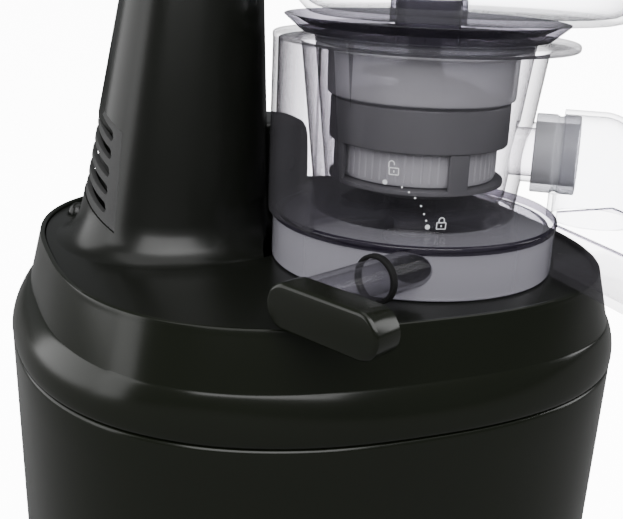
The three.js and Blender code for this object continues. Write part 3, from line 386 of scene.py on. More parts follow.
class Shape:
    """Vertices in millimetres and faces, which become one mesh object."""

    def __init__(self) -> None:
        """Starts empty."""
        self.points: list[Point] = []
        self.faces: list[tuple[int, ...]] = []

    def skin(self, rings: Sequence[Sequence[Point]], ends: bool = True) -> "Shape":
        """Adds a skin over outlines of equal length.

        Args:
            rings: the outlines.
            ends: True to cap both ends, False to join the last outline to the first.

        Returns:
            This shape.
        """
        first, count = len(self.points), len(rings[0])
        for ring in rings:
            self.points.extend(tuple(map(float, p)) for p in ring)
        rows = len(rings) - 1 if ends else len(rings)
        for row in range(rows):
            low, high = first + row * count, first + ((row + 1) % len(rings)) * count
            for i in range(count):
                j = (i + 1) % count
                self.faces.append((low + i, low + j, high + j, high + i))
        if ends:
            self.faces.append(tuple(range(first + count - 1, first - 1, -1)))
            last = first + (len(rings) - 1) * count
            self.faces.append(tuple(range(last, last + count)))
        return self

    def lathe(self, profile: Sequence[Pair], centre: Point, sides: int = 128) -> "Shape":
        """Adds a closed profile of (radius, height) turned about Z through centre."""
        cx, cy, cz = centre
        angles = np.arange(sides) / sides * TAU
        rings = [
            [(cx + r * math.cos(t), cy + r * math.sin(t), cz + z) for r, z in profile]
            for t in angles
        ]
        return self.skin(rings, ends=False)

    def turned(self, profile: Sequence[Pair], centre: Point, sides: int = 96) -> "Shape":
        """Adds an open profile of (radius, height), capped flat at both ends."""
        cx, cy, cz = centre
        ring = lambda r, z: [
            (cx + r * math.cos(t), cy + r * math.sin(t), cz + z)
            for t in np.arange(sides) / sides * TAU
        ]
        return self.skin([ring(r, z) for r, z in profile])

    def tube(self, profile: Sequence[Pair], start: Point, angle: float, sides: int = 72) -> "Shape":
        """Adds a closed profile of (radius, distance) turned about a level axis."""
        ux, uy = math.cos(angle), math.sin(angle)
        rings = []
        for t in np.arange(sides) / sides * TAU:
            c, s = math.cos(t), math.sin(t)
            rings.append([
                (start[0] + d * ux - r * c * uy, start[1] + d * uy + r * c * ux, start[2] + r * s)
                for r, d in profile
            ])
        return self.skin(rings, ends=False)

    def rod(self, radius: float, low: float, high: float, start: Point, angle: float) -> "Shape":
        """Adds a plain rod along a level axis."""
        ux, uy = math.cos(angle), math.sin(angle)
        ring = lambda d: [
            (start[0] + d * ux - radius * math.cos(t) * uy,
             start[1] + d * uy + radius * math.cos(t) * ux, start[2] + radius * math.sin(t))
            for t in np.arange(64) / 64 * TAU
        ]
        return self.skin([ring(low), ring(high)])

    def arc(
        self, inner: float, outer: float, span: Pair, low: Callable[[float], float],
        high: Callable[[float], float], centre: Pair, steps: int = 24,
    ) -> "Shape":
        """Adds part of a ring, whose heights may change along its span in degrees."""
        rings = []
        for degrees in np.linspace(*span, steps + 1):
            t = math.radians(degrees)
            at = lambda r, z: (centre[0] + r * math.cos(t), centre[1] + r * math.sin(t), z)
            a, b = low(degrees), high(degrees)
            rings.append([at(inner, a), at(outer, a), at(outer, b), at(inner, b)])
        return self.skin(rings)

    def box(self, low: Point, high: Point) -> "Shape":
        """Adds a box between two corners."""
        (a, b, c), (d, e, f) = low, high
        return self.skin([[(a, b, z), (d, b, z), (d, e, z), (a, e, z)] for z in (c, f)])

    def thing(self, name: str, crease: float = 32) -> bpy.types.Object:
        """The mesh object, in metres, with smooth shading up to an angle.

        Args:
            name: the object's name.
            crease: edges sharper than this many degrees stay sharp.

        Returns:
            The object, linked to the scene.
        """
        mesh = bpy.data.meshes.new(name)
        mesh.from_pydata([tuple(v * MM for v in p) for p in self.points], [], self.faces)
        tidy(mesh, crease)
        made = bpy.data.objects.new(name, mesh)
        bpy.context.scene.collection.objects.link(made)
        return made


def tidy(mesh: bpy.types.Mesh, crease: float) -> None:
    """Merges doubles, turns faces outwards and shades smooth up to an angle."""
    work = bmesh.new()
    work.from_mesh(mesh)
    bmesh.ops.remove_doubles(work, verts=work.verts, dist=1e-6)
    bmesh.ops.dissolve_degenerate(work, edges=work.edges, dist=1e-6)
    bmesh.ops.recalc_face_normals(work, faces=work.faces)
    work.to_mesh(mesh)
    work.free()
    mesh.shade_smooth()
    mesh.set_sharp_from_angle(angle=math.radians(crease))


def settle(piece: bpy.types.Object, crease: float | None = None) -> bpy.types.Object:
    """Replaces a piece's mesh by its evaluated one and drops its modifiers."""
    graph = bpy.context.evaluated_depsgraph_get()
    graph.update()
    mesh = bpy.data.meshes.new_from_object(piece.evaluated_get(graph))
    piece.modifiers.clear()
    piece.data = mesh
    if crease is not None:
        tidy(mesh, crease)
    return piece


def carve(piece: bpy.types.Object, operation: str, *tools: Shape) -> bpy.types.Object:
    """Joins tools to a piece, cuts them away or keeps what they share.

    Args:
        piece: the object to change.
        operation: UNION, DIFFERENCE or INTERSECT.
        tools: the shapes.

    Returns:
        The piece.
    """
    for i, shape in enumerate(tools):
        tool = shape.thing(f"{piece.name}_tool_{i}")
        cut = piece.modifiers.new("cut", "BOOLEAN")
        cut.operation, cut.solver, cut.object = operation, "EXACT", tool
        settle(piece)
        bpy.data.objects.remove(tool)
    tidy(piece.data, 32)
    return piece


def round_edges(piece: bpy.types.Object, width: float, angle: float = 35) -> bpy.types.Object:
    """Rounds a piece's sharp edges by a width in millimetres."""
    work = bmesh.new()
    work.from_mesh(piece.data)
    bmesh.ops.remove_doubles(work, verts=work.verts, dist=1e-6)
    bmesh.ops.dissolve_limit(
        work, angle_limit=math.radians(1), verts=work.verts, edges=work.edges
    )
    work.to_mesh(piece.data)
    work.free()
    bevel = piece.modifiers.new("round", "BEVEL")
    bevel.width, bevel.segments = width * MM, 3
    bevel.limit_method, bevel.angle_limit = "ANGLE", math.radians(angle)
    bevel.harden_normals = False
    return settle(piece, 40)


class RibRing:
    """Geometry Nodes tree that stands rounded ribs on a circle, turned to face outwards."""

    SIZES = ("Radius", "Rib Radius", "Rib Height", "Lean")

    def __init__(self, finish: Finish) -> None:
        """Builds the tree for one finish."""
        tree = bpy.data.node_groups.new("rib_ring_" + finish.name, "GeometryNodeTree")
        face = tree.interface
        face.new_socket("Count", in_out="INPUT", socket_type="NodeSocketInt")
        for size in self.SIZES:
            face.new_socket(size, in_out="INPUT", socket_type="NodeSocketFloat")
        face.new_socket("Geometry", in_out="OUTPUT", socket_type="NodeSocketGeometry")
        add, link = tree.nodes.new, tree.links.new
        given, result = add("NodeGroupInput"), add("NodeGroupOutput")
        circle, rib = add("GeometryNodeMeshCircle"), add("GeometryNodeMeshCylinder")
        rib.inputs["Vertices"].default_value = 10
        stand, index = add("GeometryNodeInstanceOnPoints"), add("GeometryNodeInputIndex")
        step, turn = add("ShaderNodeMath"), add("ShaderNodeMath")
        step.operation, turn.operation = "DIVIDE", "MULTIPLY"
        step.inputs[0].default_value = TAU
        euler = add("ShaderNodeCombineXYZ")
        real, dress = add("GeometryNodeRealizeInstances"), add("GeometryNodeSetMaterial")
        dress.inputs["Material"].default_value = finish.material()
        link(given.outputs["Count"], circle.inputs["Vertices"])
        link(given.outputs["Radius"], circle.inputs["Radius"])
        link(given.outputs["Rib Radius"], rib.inputs["Radius"])
        link(given.outputs["Rib Height"], rib.inputs["Depth"])
        link(given.outputs["Count"], step.inputs[1])
        link(step.outputs[0], turn.inputs[0])
        link(index.outputs[0], turn.inputs[1])
        link(turn.outputs[0], euler.inputs["Z"])
        link(given.outputs["Lean"], euler.inputs["Y"])
        link(circle.outputs[0], stand.inputs["Points"])
        link(rib.outputs[0], stand.inputs["Instance"])
        link(euler.outputs[0], stand.inputs["Rotation"])
        link(stand.outputs[0], real.inputs[0])
        link(real.outputs[0], dress.inputs["Geometry"])
        link(dress.outputs[0], result.inputs[0])
        self.tree = tree

    def stand(self, name: str, centre: Point, count: int, *sizes: float) -> bpy.types.Object:
        """Makes a ring of ribs as a plain mesh.

        Args:
            name: the object's name.
            centre: middle of the ribs' height on the ring's axis, in millimetres.
            count: how many ribs.
            sizes: ring radius, rib radius, rib height in millimetres, and lean in degrees.

        Returns:
            The object.
        """
        host = bpy.data.objects.new(name, bpy.data.meshes.new(name))
        bpy.context.scene.collection.objects.link(host)
        nodes = host.modifiers.new("ribs", "NODES")
        nodes.node_group = self.tree
        inputs = {s.name: s.identifier for s in self.tree.interface.items_tree
                  if s.in_out == "INPUT"}
        nodes[inputs["Count"]] = count
        *lengths, lean = sizes
        for size, value in zip(self.SIZES, (*(v * MM for v in lengths), math.radians(lean))):
            nodes[inputs[size]] = value
        settle(host)
        host.data.transform(Matrix.Translation(Vector(centre) * MM))
        host.data.shade_smooth()
        host.data.set_sharp_from_angle(angle=math.radians(40))
        return host


def dress(piece: bpy.types.Object, finish: Finish, body: str, *nodes: str) -> bpy.types.Object:
    """Gives a piece its finish, its body and the nodes that it stands for."""
    piece.data.materials.clear()
    piece.data.materials.append(finish.material())
    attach(piece, body)
    if nodes:
        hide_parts(*nodes)
    LOG.info("%s rides on %s in %s", piece.name, body, finish.name)
    return piece


def repaint(piece: bpy.types.Object, finish: Finish, where: Callable[[Vector], bool]) -> None:
    """Gives a second finish to a piece's faces whose middle, in millimetres, is in a place."""
    piece.data.materials.append(finish.material())
    last = len(piece.data.materials) - 1
    for face in piece.data.polygons:
        if where(face.center / MM):
            face.material_index = last


def merged(name: str, *pieces: bpy.types.Object) -> bpy.types.Object:
    """Several pieces' meshes as one object."""
    work = bmesh.new()
    for piece in pieces:
        work.from_mesh(piece.data)
        bpy.data.objects.remove(piece)
    mesh = bpy.data.meshes.new(name)
    work.to_mesh(mesh)
    work.free()
    mesh.shade_smooth()
    mesh.set_sharp_from_angle(angle=math.radians(35))
    made = bpy.data.objects.new(name, mesh)
    bpy.context.scene.collection.objects.link(made)
    return made


def copied(node: str, name: str) -> bpy.types.Object:
    """A copy of a CAD node's mesh, to be worked on."""
    made = bpy.data.objects.new(name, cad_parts[node].data.copy())
    bpy.context.scene.collection.objects.link(made)
    return made


def middle(node: str) -> Vector:
    """The centre of a CAD node's box, in millimetres."""
    low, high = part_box(node)
    return (low + high) / 2 / MM


# ---- Base ------------------------------------------------------------------------------------


@dataclass
class Base:
    """The skirt, shoulder, deck and tower, with the feet, vent and cap."""

    deck: float = 156
    seam: float = 113.4
    seam_half: Pair = (140.1, 131.3)
    seam_power: float = 2.42
    deck_half: Pair = (125.4, 121.8)
    deck_power: float = 2.73
    wall: float = 3
    neck_drop: float = 22
    neck_flare: float = 5
    inset: float = 3
    foot: float = 4
    tower_spacing: float = 113.5
    tower_radius: float = 45.3
    tower_top: float = 26.9
    tower_lean: float = 12
    tower_height: float = 150
    tower_power: float = 2.15
    fillet: Pair = (11, 16)
    axis: float = math.radians(-33.5)
    seat: float = 67
    vent_half: float = 74
    vent_heights: Pair = (24, 67)
    vent_sag: float = 18
    slots: int = 5
    slot_low: float = 27.75
    slot_pitch: float = 7.8
    slot_height: float = 4.7
    button_angle: float = math.radians(125.5)
    bowl: Vector = field(default_factory=lambda: middle("bowl_floor"))
    plan: Vector = field(default_factory=lambda: middle("base_plate"))

    @property
    def centre(self) -> Pair:
        """Centre of the base's plan."""
        return (self.plan.x, self.plan.y)

    @property
    def tower(self) -> Pair:
        """Centre of the tower at the deck."""
        return (
            self.bowl.x - self.tower_spacing * math.cos(self.axis),
            self.bowl.y - self.tower_spacing * math.sin(self.axis),
        )

    def build(self) -> None:
        """Makes every piece of the base."""
        for make in (self.skirt, self.shoulder, self.housing, self.vent, self.cap,
                     self.feet, self.fittings, self.inner_works):
            make()

    def skirt(self) -> None:
        """The lower shell, with openings for the switch and the gland."""
        at = lambda z, grow: oval(
            self.seam_half, self.seam_power, self.centre, z,
            grow - self.inset * (self.seam - z) / self.seam,
        )
        top, low, wall = self.seam - 0.3, self.foot, -self.wall
        outside = [(low, -0.9), (low + 0.3, -0.3), (low + 1, 0)]
        outside += [(float(z), 0) for z in np.linspace(12, top - 2.2, 8)]
        outside += [(top - 1.2, -0.15), (top - 0.5, -0.45), (top - 0.1, -0.95), (top, -1.5)]
        rings = [at(low, wall)] + [at(z, g) for z, g in outside] + [at(top, wall)]
        piece = Shape().skin(rings, ends=False).thing("lower_shell")
        switch, gland = middle("rocker_switch"), middle("cord_gland")
        opening = Shape().box((switch.x - 13, switch.y - 20, switch.z - 7),
                              (switch.x + 13, switch.y + 20, switch.z + 7))
        hole = Shape().rod(7.3, -30, 30, tuple(gland), math.pi / 2)
        dress(carve(piece, "DIFFERENCE", opening, hole), GLOSS, "base", "base_skirt")

    def shoulder_at(self, drop: float, grow: float = 0, z: float | None = None) -> list[Point]:
        """Outline of the shoulder at a drop below the deck."""
        share = min(max((drop - self.neck_drop) / (42.6 - self.neck_drop), 0), 1)
        bulge = math.sin(share * math.pi / 2) ** 0.8
        neck = self.neck_flare * min(max(drop, 0), self.neck_drop) / self.neck_drop
        extra = 0.7 - 0.7 * share**4
        half = tuple(
            d + neck + (s + extra - d - neck) * bulge
            for d, s in zip(self.deck_half, self.seam_half)
        )
        power = self.deck_power + (self.seam_power - self.deck_power) * bulge
        return oval(half, power, self.centre, self.deck - drop if z is None else z, grow)

    def shoulder(self) -> None:
        """The bulged cover from the seam to the raised lip round the deck."""
        drops = [42.6, 42.5, 42.2, 41.6, 40.6, 39, 37, 34.5, 32, 29.5, 27, 25, 23.6, 22.7, 22.2]
        drops += [22, 21.4, 20, 16, 11, 6, 2, 0.4]
        grows = [-1.5, -1.0, -0.5, -0.15] + [0] * (len(drops) - 4)
        rings = [self.shoulder_at(d, g) for d, g in zip(drops, grows)]
        lip = [(-0.05, 0.5), (-0.25, 1.1), (-0.7, 1.45), (-1.3, 1.5), (-1.9, 1.35), (-2.3, 0.9),
               (-2.4, 0.2), (-2.4, -3.3), (-6.4, -3.3), (-6.4, -6.3), (-3, -9)]
        rings += [self.shoulder_at(0, g, self.deck + z) for g, z in lip]
        rings += [self.shoulder_at(d, -self.wall) for d in (22, 30, 40, 42.6)]
        dress(Shape().skin(rings, ends=False).thing("shoulder"), GLOSS, "base", "shoulder_cover")

    def tower_at(self, z: float, grow: float = 0) -> list[Point]:
        """Outline of the tower at a height above the deck."""
        share = min(max(z / self.tower_height, 0), 1)
        radius = self.tower_radius + (self.tower_top - self.tower_radius) * share
        width, height = self.fillet
        spread = min(max(1 - z / height, 0), 1)
        flare = width * (1 - math.sqrt(1 - spread * spread * 0.98))
        reach = self.tower_lean * share
        centre = (self.tower[0] + reach * math.cos(self.axis),
                  self.tower[1] + reach * math.sin(self.axis))
        return oval((radius, radius), self.tower_power, centre, self.deck + z, flare + grow)

    def window(self, grow: float, inner: float = 20) -> Shape:
        """The vent's place in the tower's wall, which sags towards its ends."""
        mid = math.degrees(self.axis) + 180
        sag = lambda d: self.vent_sag * (1 - math.cos(math.radians(d - mid)))
        low, high = (self.deck + v for v in self.vent_heights)
        span = self.vent_half + grow * 1.6
        return Shape().arc(inner, 90, (mid - span, mid + span), lambda d: low - grow - sag(d),
                           lambda d: high + grow - sag(d), self.tower, 48)

    def slot(self, i: int) -> Shape:
        """One arched slot of the vent, with round ends."""
        mid = math.degrees(self.axis) + 180
        span, half = self.vent_half - 9, self.slot_height / 2
        level = self.deck + self.slot_low + i * self.slot_pitch + half
        round_end = math.degrees(half / self.tower_radius)

        def height(d: float) -> float:
            """Half the slot's height at an angle."""
            past = max(abs(d - mid) - (span - round_end), 0) / round_end
            return max(half * math.sqrt(max(1 - past * past, 0)), 0.02)

        sag = lambda d: level - self.vent_sag * (1 - math.cos(math.radians(d - mid)))
        return Shape().arc(20, 90, (mid - span, mid + span), lambda d: sag(d) - height(d),
                           lambda d: sag(d) + height(d), self.tower, 160)

    def housing(self) -> None:
        """The deck plate with the tower, the block behind the bowl and the spindle's boss."""
        bx, by, top = self.bowl.x, self.bowl.y, self.deck
        levels = [-2, 0, 0.05, 0.2, 0.5, 1, 1.8, 3, 4.5, 6.5, 9, 12, 16, 30, 60, 90, 120, 147,
                  149.2]
        rings = [self.tower_at(z) for z in levels]
        rings += [self.tower_at(149.8, -0.3), self.tower_at(150, -1)]
        tower = Shape().skin(rings).thing("tower_part")
        angle = self.button_angle
        hump_at = (bx + 86 * math.cos(angle), by + 86 * math.sin(angle))
        block = Shape().skin([
            oval((24 * s, 24 * s), 2.6, hump_at, top + z, 0, 96)
            for s, z in ((1.16, -2), (1.12, 0), (1.06, 1.2), (1.02, 4), (1, 8), (0.96, 40),
                         (0.945, 46), (0.91, 50), (0.84, 52.6), (0.74, 53.8), (0.6, 54))
        ])
        seat = Shape().turned([(self.seat, top), (self.seat, top + 170)], (bx, by, 0), 160)
        carve(tower, "UNION", block)
        carve(tower, "DIFFERENCE", seat, self.window(0.3, 34))
        plate = [(0.0, -3), (0.0, -0.4), (-0.15, -0.1), (-0.5, 0)]
        deck = Shape().skin([
            oval(self.deck_half, self.deck_power, self.centre, top + z, -2.7 + g) for g, z in plate
        ])
        rim = [(13.5, top - 3), (13.5, top + 7), (13.2, top + 7.7), (12.5, top + 8)]
        boss = Shape().turned(rim, (bx, by, 0))
        dome = [(5 * math.cos(t), 6 * math.sin(t)) for t in np.linspace(0, 1.5, 8)]
        bump = Shape().turned([(6.2, 0), (5.4, 0.3), *dome],
                              (self.centre[0] - 101, self.centre[1] + 66, top), 48)
        bore = Shape().turned([(10, top - 20), (10, top + 20)], (bx, by, 0), 64)
        button = Shape().rod(4.3, -2, 14, (bx + 67 * math.cos(angle), by + 67 * math.sin(angle),
                                          top + 34), angle)
        carve(tower, "DIFFERENCE", button)
        floor = carve(deck.thing("deck_part"), "UNION", boss)
        carve(floor, "DIFFERENCE", bore)
        piece = merged("deck_and_tower", tower, floor, bump.thing("bump_part"))
        dress(piece, TOWER, "base", "tower_housing")

    def vent(self) -> None:
        """The grille in the tower's side, cut from the tower's own curve."""
        levels = [0.5, 1.8, 3, 4.5, 6.5, 9, 12, 16, 40, 80, 120]
        piece = Shape().skin([self.tower_at(z, -0.5) for z in levels]).thing("vent_panel")
        carve(piece, "INTERSECT", self.window(0, 30))
        back = Shape().skin([self.tower_at(z, -2.6) for z in levels])
        carve(piece, "DIFFERENCE", back, *(self.slot(i) for i in range(self.slots)))
        dress(piece, MATTE, "base", "vent_grille")

    def cap(self) -> None:
        """The closed top of the tower."""
        foot = self.tower_height + 0.3
        steps = [(-3.6, -5), (-3.6, 0), (-0.9, 0), (-0.3, 0.25), (0, 0.9), (0, 3), (-0.3, 4.4),
                 (-1.2, 5.8), (-3, 7.1), (-6, 8.1), (-10.5, 8.8), (-16, 9)]
        rings = []
        for grow, z in steps:
            ring = self.tower_at(self.tower_height, grow)
            rings.append([(x, y, self.deck + foot + z) for x, y, _ in ring])
        dress(Shape().skin(rings).thing("top_of_tower"), TOWER, "base", "tower_cap")

    def feet(self) -> None:
        """Four soft feet."""
        for i in range(1, 5):
            at = middle(f"foot_{i}")
            profile = soften([(0.5, 0), (9.8, 0), (11, 1.2), (10.4, 3.7), (0.5, 3.7)], 0.6)
            foot = Shape().turned(profile, (at.x, at.y, 0))
            dress(foot.thing(f"soft_foot_{i}"), RUBBER, "base", f"foot_{i}")

    def fittings(self) -> None:
        """The switch's frame and rocker, the cord gland and the interlock button's pin."""
        frame_piece = round_edges(copied("switch_bezel", "switch_frame"), 0.6)
        dress(frame_piece, MATTE, "base", "switch_bezel")
        dress(round_edges(copied("rocker_switch", "rocker"), 0.8), MATTE, "rocker", "rocker_switch")
        gland = middle("cord_gland")
        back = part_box("cord_gland")[0].y / MM
        profile = [(3.4, 0), (7, 0), (7, 14), (9.5, 14), (9.5, 18), (3.4, 18)]
        body = Shape().tube(soften(profile, 0.9, True), (gland.x, back, gland.z), math.pi / 2)
        dress(body.thing("gland_body"), RUBBER, "base", "cord_gland")
        button = middle("interlock_button")
        angle = self.button_angle
        pin = [(0.05, -3.8), (3, -3.8), (4, -2.8), (4, 4.2), (0.05, 4.2)]
        press = Shape().tube(soften(pin, 0.5, True), tuple(button), angle)
        dress(press.thing("button_pin"), MATTE, "button", "interlock_button")

    def inner_works(self) -> None:
        """Finishes of the CAD nodes that stay: motor, gears, board and plates."""
        screws = [f"base_screw_{i}" for i in range(1, 5)]
        finishes = {
            STEEL: ("motor_can", "motor_rotor", "drive_spindle", *screws),
            NYLON: ("motor_fan", "first_gear", "second_gear", "wiper_idler"),
            MATTE: ("gearbox_tray", "gearbox_lid", "base_plate"),
            BRONZE: ("spindle_bush",),
            BOARD: ("control_board",),
            SILICONE: ("spindle_seal", "wiper_blade_1", "wiper_blade_2"),
        }
        for finish, nodes in finishes.items():
            for node in nodes:
                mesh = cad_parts[node].data
                mesh.materials.clear()
                mesh.materials.append(finish.material())


# ---- Bowl set --------------------------------------------------------------------------------


@dataclass
class BowlSet:
    """The clear bowl and what it holds. Heights are above the deck."""

    drum: float = 63
    drum_wall: float = 2.5
    drum_high: float = 23.5
    cup_floor: float = 31
    cup_low: Pair = (39.6, 45.2)
    cup_high: Pair = (47.6, 53.6)
    ring: float = 65.6
    ring_z: float = 99.5
    panel: Pair = (113, 203)
    pulp: float = math.radians(-35)
    pulp_z: float = 53
    spout_turn: float = math.radians(23.9)
    spout_y: float = -37.8
    spout_z: float = 13.4
    spout_end: float = -105.2
    spout_radius: float = 8
    spout_bore: float = 6
    ring_of_spout: float = -68.15
    lever_radius: float = 8.8
    lever_length: float = 34.8
    axis: Vector = field(default_factory=lambda: middle("bowl_floor"))
    deck: float = 156

    @property
    def origin(self) -> Point:
        """The bowl's axis at the deck."""
        return (self.axis.x, self.axis.y, self.deck)

    def at(self, x: float, y: float, z: float) -> Point:
        """A place given from the bowl's axis at the deck."""
        return (self.axis.x + x, self.axis.y + y, self.deck + z)

    @property
    def plan(self) -> Pair:
        """The bowl's axis in plan."""
        return (self.axis.x, self.axis.y)

    def flat(self, z: float) -> Callable[[float], float]:
        """A level edge at a height, for an arc."""
        return lambda _: self.deck + z

    def beside_spout(self, x: float, y: float, z: float) -> Point:
        """A place given with x along the spout, which is turned about the bowl's axis."""
        cos, sin = math.cos(self.spout_turn), math.sin(self.spout_turn)
        return self.at(x * cos - y * sin, x * sin + y * cos, z)

    def cup(self, z: float, inside: bool = False) -> float:
        """The cup's radius at a height."""
        i = 0 if inside else 1
        share = (z - self.cup_floor) / (self.ring_z - self.cup_floor)
        return self.cup_low[i] + (self.cup_high[i] - self.cup_low[i]) * share

    def build(self) -> None:
        """Makes every piece of the bowl set."""
        for make in (self.body, self.floor, self.symbols, self.strainer, self.wiper,
                     self.screw, self.spout_parts, self.pulp_path, self.lid, self.hopper,
                     self.pusher):
            make()

    def body(self) -> None:
        """The smoke-tinted bowl: drum, cup, ring, side panel, spout and pulp spigot."""
        inner, under = self.drum - self.drum_wall, self.drum_high - 3.5
        cup, floor, top = self.cup, self.cup_floor, self.ring_z
        profile = soften([
            (inner, 0.6), (self.drum, 0.6), (self.drum, under), (self.drum + 1, under + 0.6),
            (self.drum + 1, self.drum_high - 0.6), (self.drum, self.drum_high),
            (cup(self.drum_high) + 0.2, self.drum_high), (cup(floor), floor),
            (cup(top - 3), top - 3),
            (self.ring, top - 3), (self.ring, top), (cup(top, True), top),
            (cup(floor, True), floor), (10.3, floor), (10.3, 16), (13, 16), (13, floor - 3),
            (cup(floor, True) - 1, floor - 3), (cup(floor, True) + 1, under), (inner, under),
        ], 2.2, True)
        piece = Shape().lathe(profile, self.origin, 144).thing("clear_bowl")
        centre, deck, flat = self.plan, self.deck, self.flat
        side = Shape().arc(self.ring - 2.6, self.ring - 0.2, self.panel, flat(22.5), flat(98),
                           centre, 48)
        ribs = [
            Shape().arc(44.2, self.ring - 1, (a - 1.2, a + 1.2), flat(27.5), flat(98), centre, 2)
            for a in (self.panel[0] + 2, self.panel[1] - 2)
        ]
        start = self.at(0, 0, self.pulp_z)
        pipe = [(10.5, 42), (13, 42), (13, 57.4), (12.4, 58), (11, 58), (10.5, 57.4)]
        spigot = Shape().tube(pipe, start, self.pulp)
        barrel, turn = self.beside_spout(0, self.spout_y, self.spout_z), self.spout_turn
        spout = Shape().rod(self.spout_radius, self.spout_end, -38, barrel, turn)
        chamber = [(19, -1), (inner - 0.05, -1), (inner - 0.05, under - 0.05), (19, under - 0.05)]
        carve(piece, "UNION", side, *ribs, spigot, spout)
        bore = Shape().rod(self.spout_bore, self.spout_end - 1, -22, barrel, turn)
        carve(piece, "DIFFERENCE", bore, Shape().lathe(chamber, self.origin),
              Shape().rod(10.5, 34, 60, start, self.pulp),
              Shape().arc(28, 36, (215, 250), flat(26), flat(32), centre, 12))
        dress(piece, SMOKE, "bowl_set", "bowl")
        away = lambda c: math.hypot(c.x - centre[0], c.y - centre[1])
        on_wall = lambda c: away(c) > cup(c.z - deck) - 0.5
        repaint(piece, WALL, lambda c: deck + 24 < c.z < deck + 98 and on_wall(c))
        repaint(piece, MILK, lambda c: deck + 19 < c.z < deck + 24 and away(c) < 58)
        repaint(piece, PEARL, lambda c: c.z < deck + 19.8 and 57 < away(c) < 63.2)
        # Painted shade: the band round the drum's top edge gets the near-black edge-shade copy of
        # the plastic.
        repaint(piece, EDGE_SHADE, lambda c: deck + 19.8 <= c.z < deck + 24 and 58 < away(c) < 64.3)

    def floor(self) -> None:
        """The plate that shuts the drum from below, with the ribs that stand on it."""
        rim = self.drum - self.drum_wall - 0.3
        profile = soften([(15, 0.6), (rim, 0.6), (rim, 3), (17, 3), (17, 15), (15, 15)], 0.7, True)
        piece = Shape().lathe(profile, self.origin).thing("plate_part")
        ribs = [
            Shape().arc(22, 52, (a - 1.5, a + 1.5), self.flat(2.5), self.flat(12), self.plan, 2)
            .thing(f"rib_part_{a}")
            for a in (20, 75, 130, 185, 240, 300)
        ]
        ribs = [round_edges(rib, 0.5) for rib in ribs]
        dress(merged("drum_floor", piece, *ribs), SMOKE, "bowl_set", "bowl_floor")
        seal = soften([(8.3, 19), (10, 19), (10, 26), (8.3, 26)], 0.6, True)
        ring = Shape().lathe(seal, self.origin, 64).thing("shaft_seal")
        dress(ring, SILICONE, "bowl_set", "bowl_seal")

    def symbols(self) -> None:
        """Printed signs on the cup: an open and a shut padlock, and a row of dots between."""
        pieces: list[bpy.types.Object] = []

        def patch(outline: Iterable[Pair], angle: float, z: float) -> None:
            """Lays one flat outline, in millimetres, on the cup's wall."""
            outline = list(outline)
            rings = []
            for lift in (0.03, 0.16):
                ring = []
                for across, up in outline:
                    r = self.cup(z + up) + lift
                    t = math.radians(angle) + across / self.cup(z)
                    ring.append(self.at(r * math.cos(t), r * math.sin(t), z + up))
                rings.append(ring)
            pieces.append(Shape().skin(rings).thing(f"print_{len(pieces)}"))

        def bar(points: Sequence[Pair], width: float, angle: float, z: float) -> None:
            """Lays a line of a given width as short patches."""
            for (a, b), (c, d) in zip(points, points[1:]):
                n = np.array([-(d - b), c - a]) / math.hypot(c - a, d - b) * width / 2
                patch([(a - n[0], b - n[1]), (c - n[0], d - n[1]), (c + n[0], d + n[1]),
                       (a + n[0], b + n[1])], angle, z)

        dot = lambda r: [(r * math.cos(t), r * math.sin(t)) for t in np.arange(16) / 16 * TAU]
        for angle, z, r in ((-132.9, 44.5, 1.05), (-124.2, 43.1, 0.42), (-120.6, 41.2, 0.42),
                            (-117.4, 38.9, 0.42), (-114.1, 35.6, 0.42), (-112.2, 32.2, 0.42),
                            (-110.8, 29.4, 0.42), (-109.8, 26.6, 1.05)):
            patch(dot(r), angle, z)
        for angle, z, shift, rise in ((-128.6, 50.4, -1.0, 0.7), (-102.6, 28.2, 0.0, 0.0)):
            bar([(-1.9, -2.4), (1.9, -2.4), (1.9, 0.4), (-1.9, 0.4), (-1.9, -2.4)], 0.4, angle, z)
            bar([(0, -1.5), (0, -0.6)], 0.5, angle, z)
            hoop = [(shift + 1.1 * math.cos(t), 1.5 + rise + 1.1 * math.sin(t))
                    for t in np.linspace(0, math.pi, 9)]
            right = [(shift + 1.1, 0.5 + (rise + 0.4 if rise else 0)), hoop[0]]
            bar([*right, *hoop[1:], (shift - 1.1, 0.5)], 0.4, angle, z)
        dress(merged("printed_signs", *pieces), PRINT, "bowl_set")

    def strainer(self) -> None:
        """The strainer: a frosted collar over a ribbed basket."""
        profile = soften([
            (12, 40.2), (34.6, 40.2), (34.6, 74.3), (41, 74.3), (41.4, 93.4), (46.6, 93.6),
            (46.6, 95.4), (39.2, 95.4), (39.2, 76.3), (32.8, 72.3), (32.8, 42), (12, 42),
        ], 1.2, True)
        basket = Shape().lathe(profile, self.origin).thing("basket_part")
        ribs = RibRing(FROSTED).stand("basket_ribs", self.at(0, 0, 57), 60, 34.3, 0.75, 30, 0)
        dress(merged("strainer_basket", basket, ribs), FROSTED, "bowl_set", "strainer")

    def wiper(self) -> None:
        """The wiper's band, its posts and its foot."""
        band = soften([(36.6, 55), (39.3, 55), (39.3, 73), (36.6, 73)], 0.8, True)
        foot = soften([(38.5, 37.6), (38.5, 39.6), (22, 39.6), (22, 38), (21.4, 38), (21.4, 33),
                       (24.2, 33), (24.2, 37.6)], 0.4, True)
        parts = [Shape().lathe(band, self.origin).thing("band_part")]
        parts.append(Shape().lathe(foot, self.origin).thing("foot_part"))
        for i in range(4):
            span = (i * 90 - 7, i * 90 + 7)
            post = Shape().arc(36.6, 38.5, span, self.flat(38.5), self.flat(56), self.plan, 6)
            post = post.thing(f"post_part_{i}")
            parts.append(round_edges(post, 0.5))
        dress(merged("wiper_cage", *parts), BAND, "wiper", "wiper_frame")

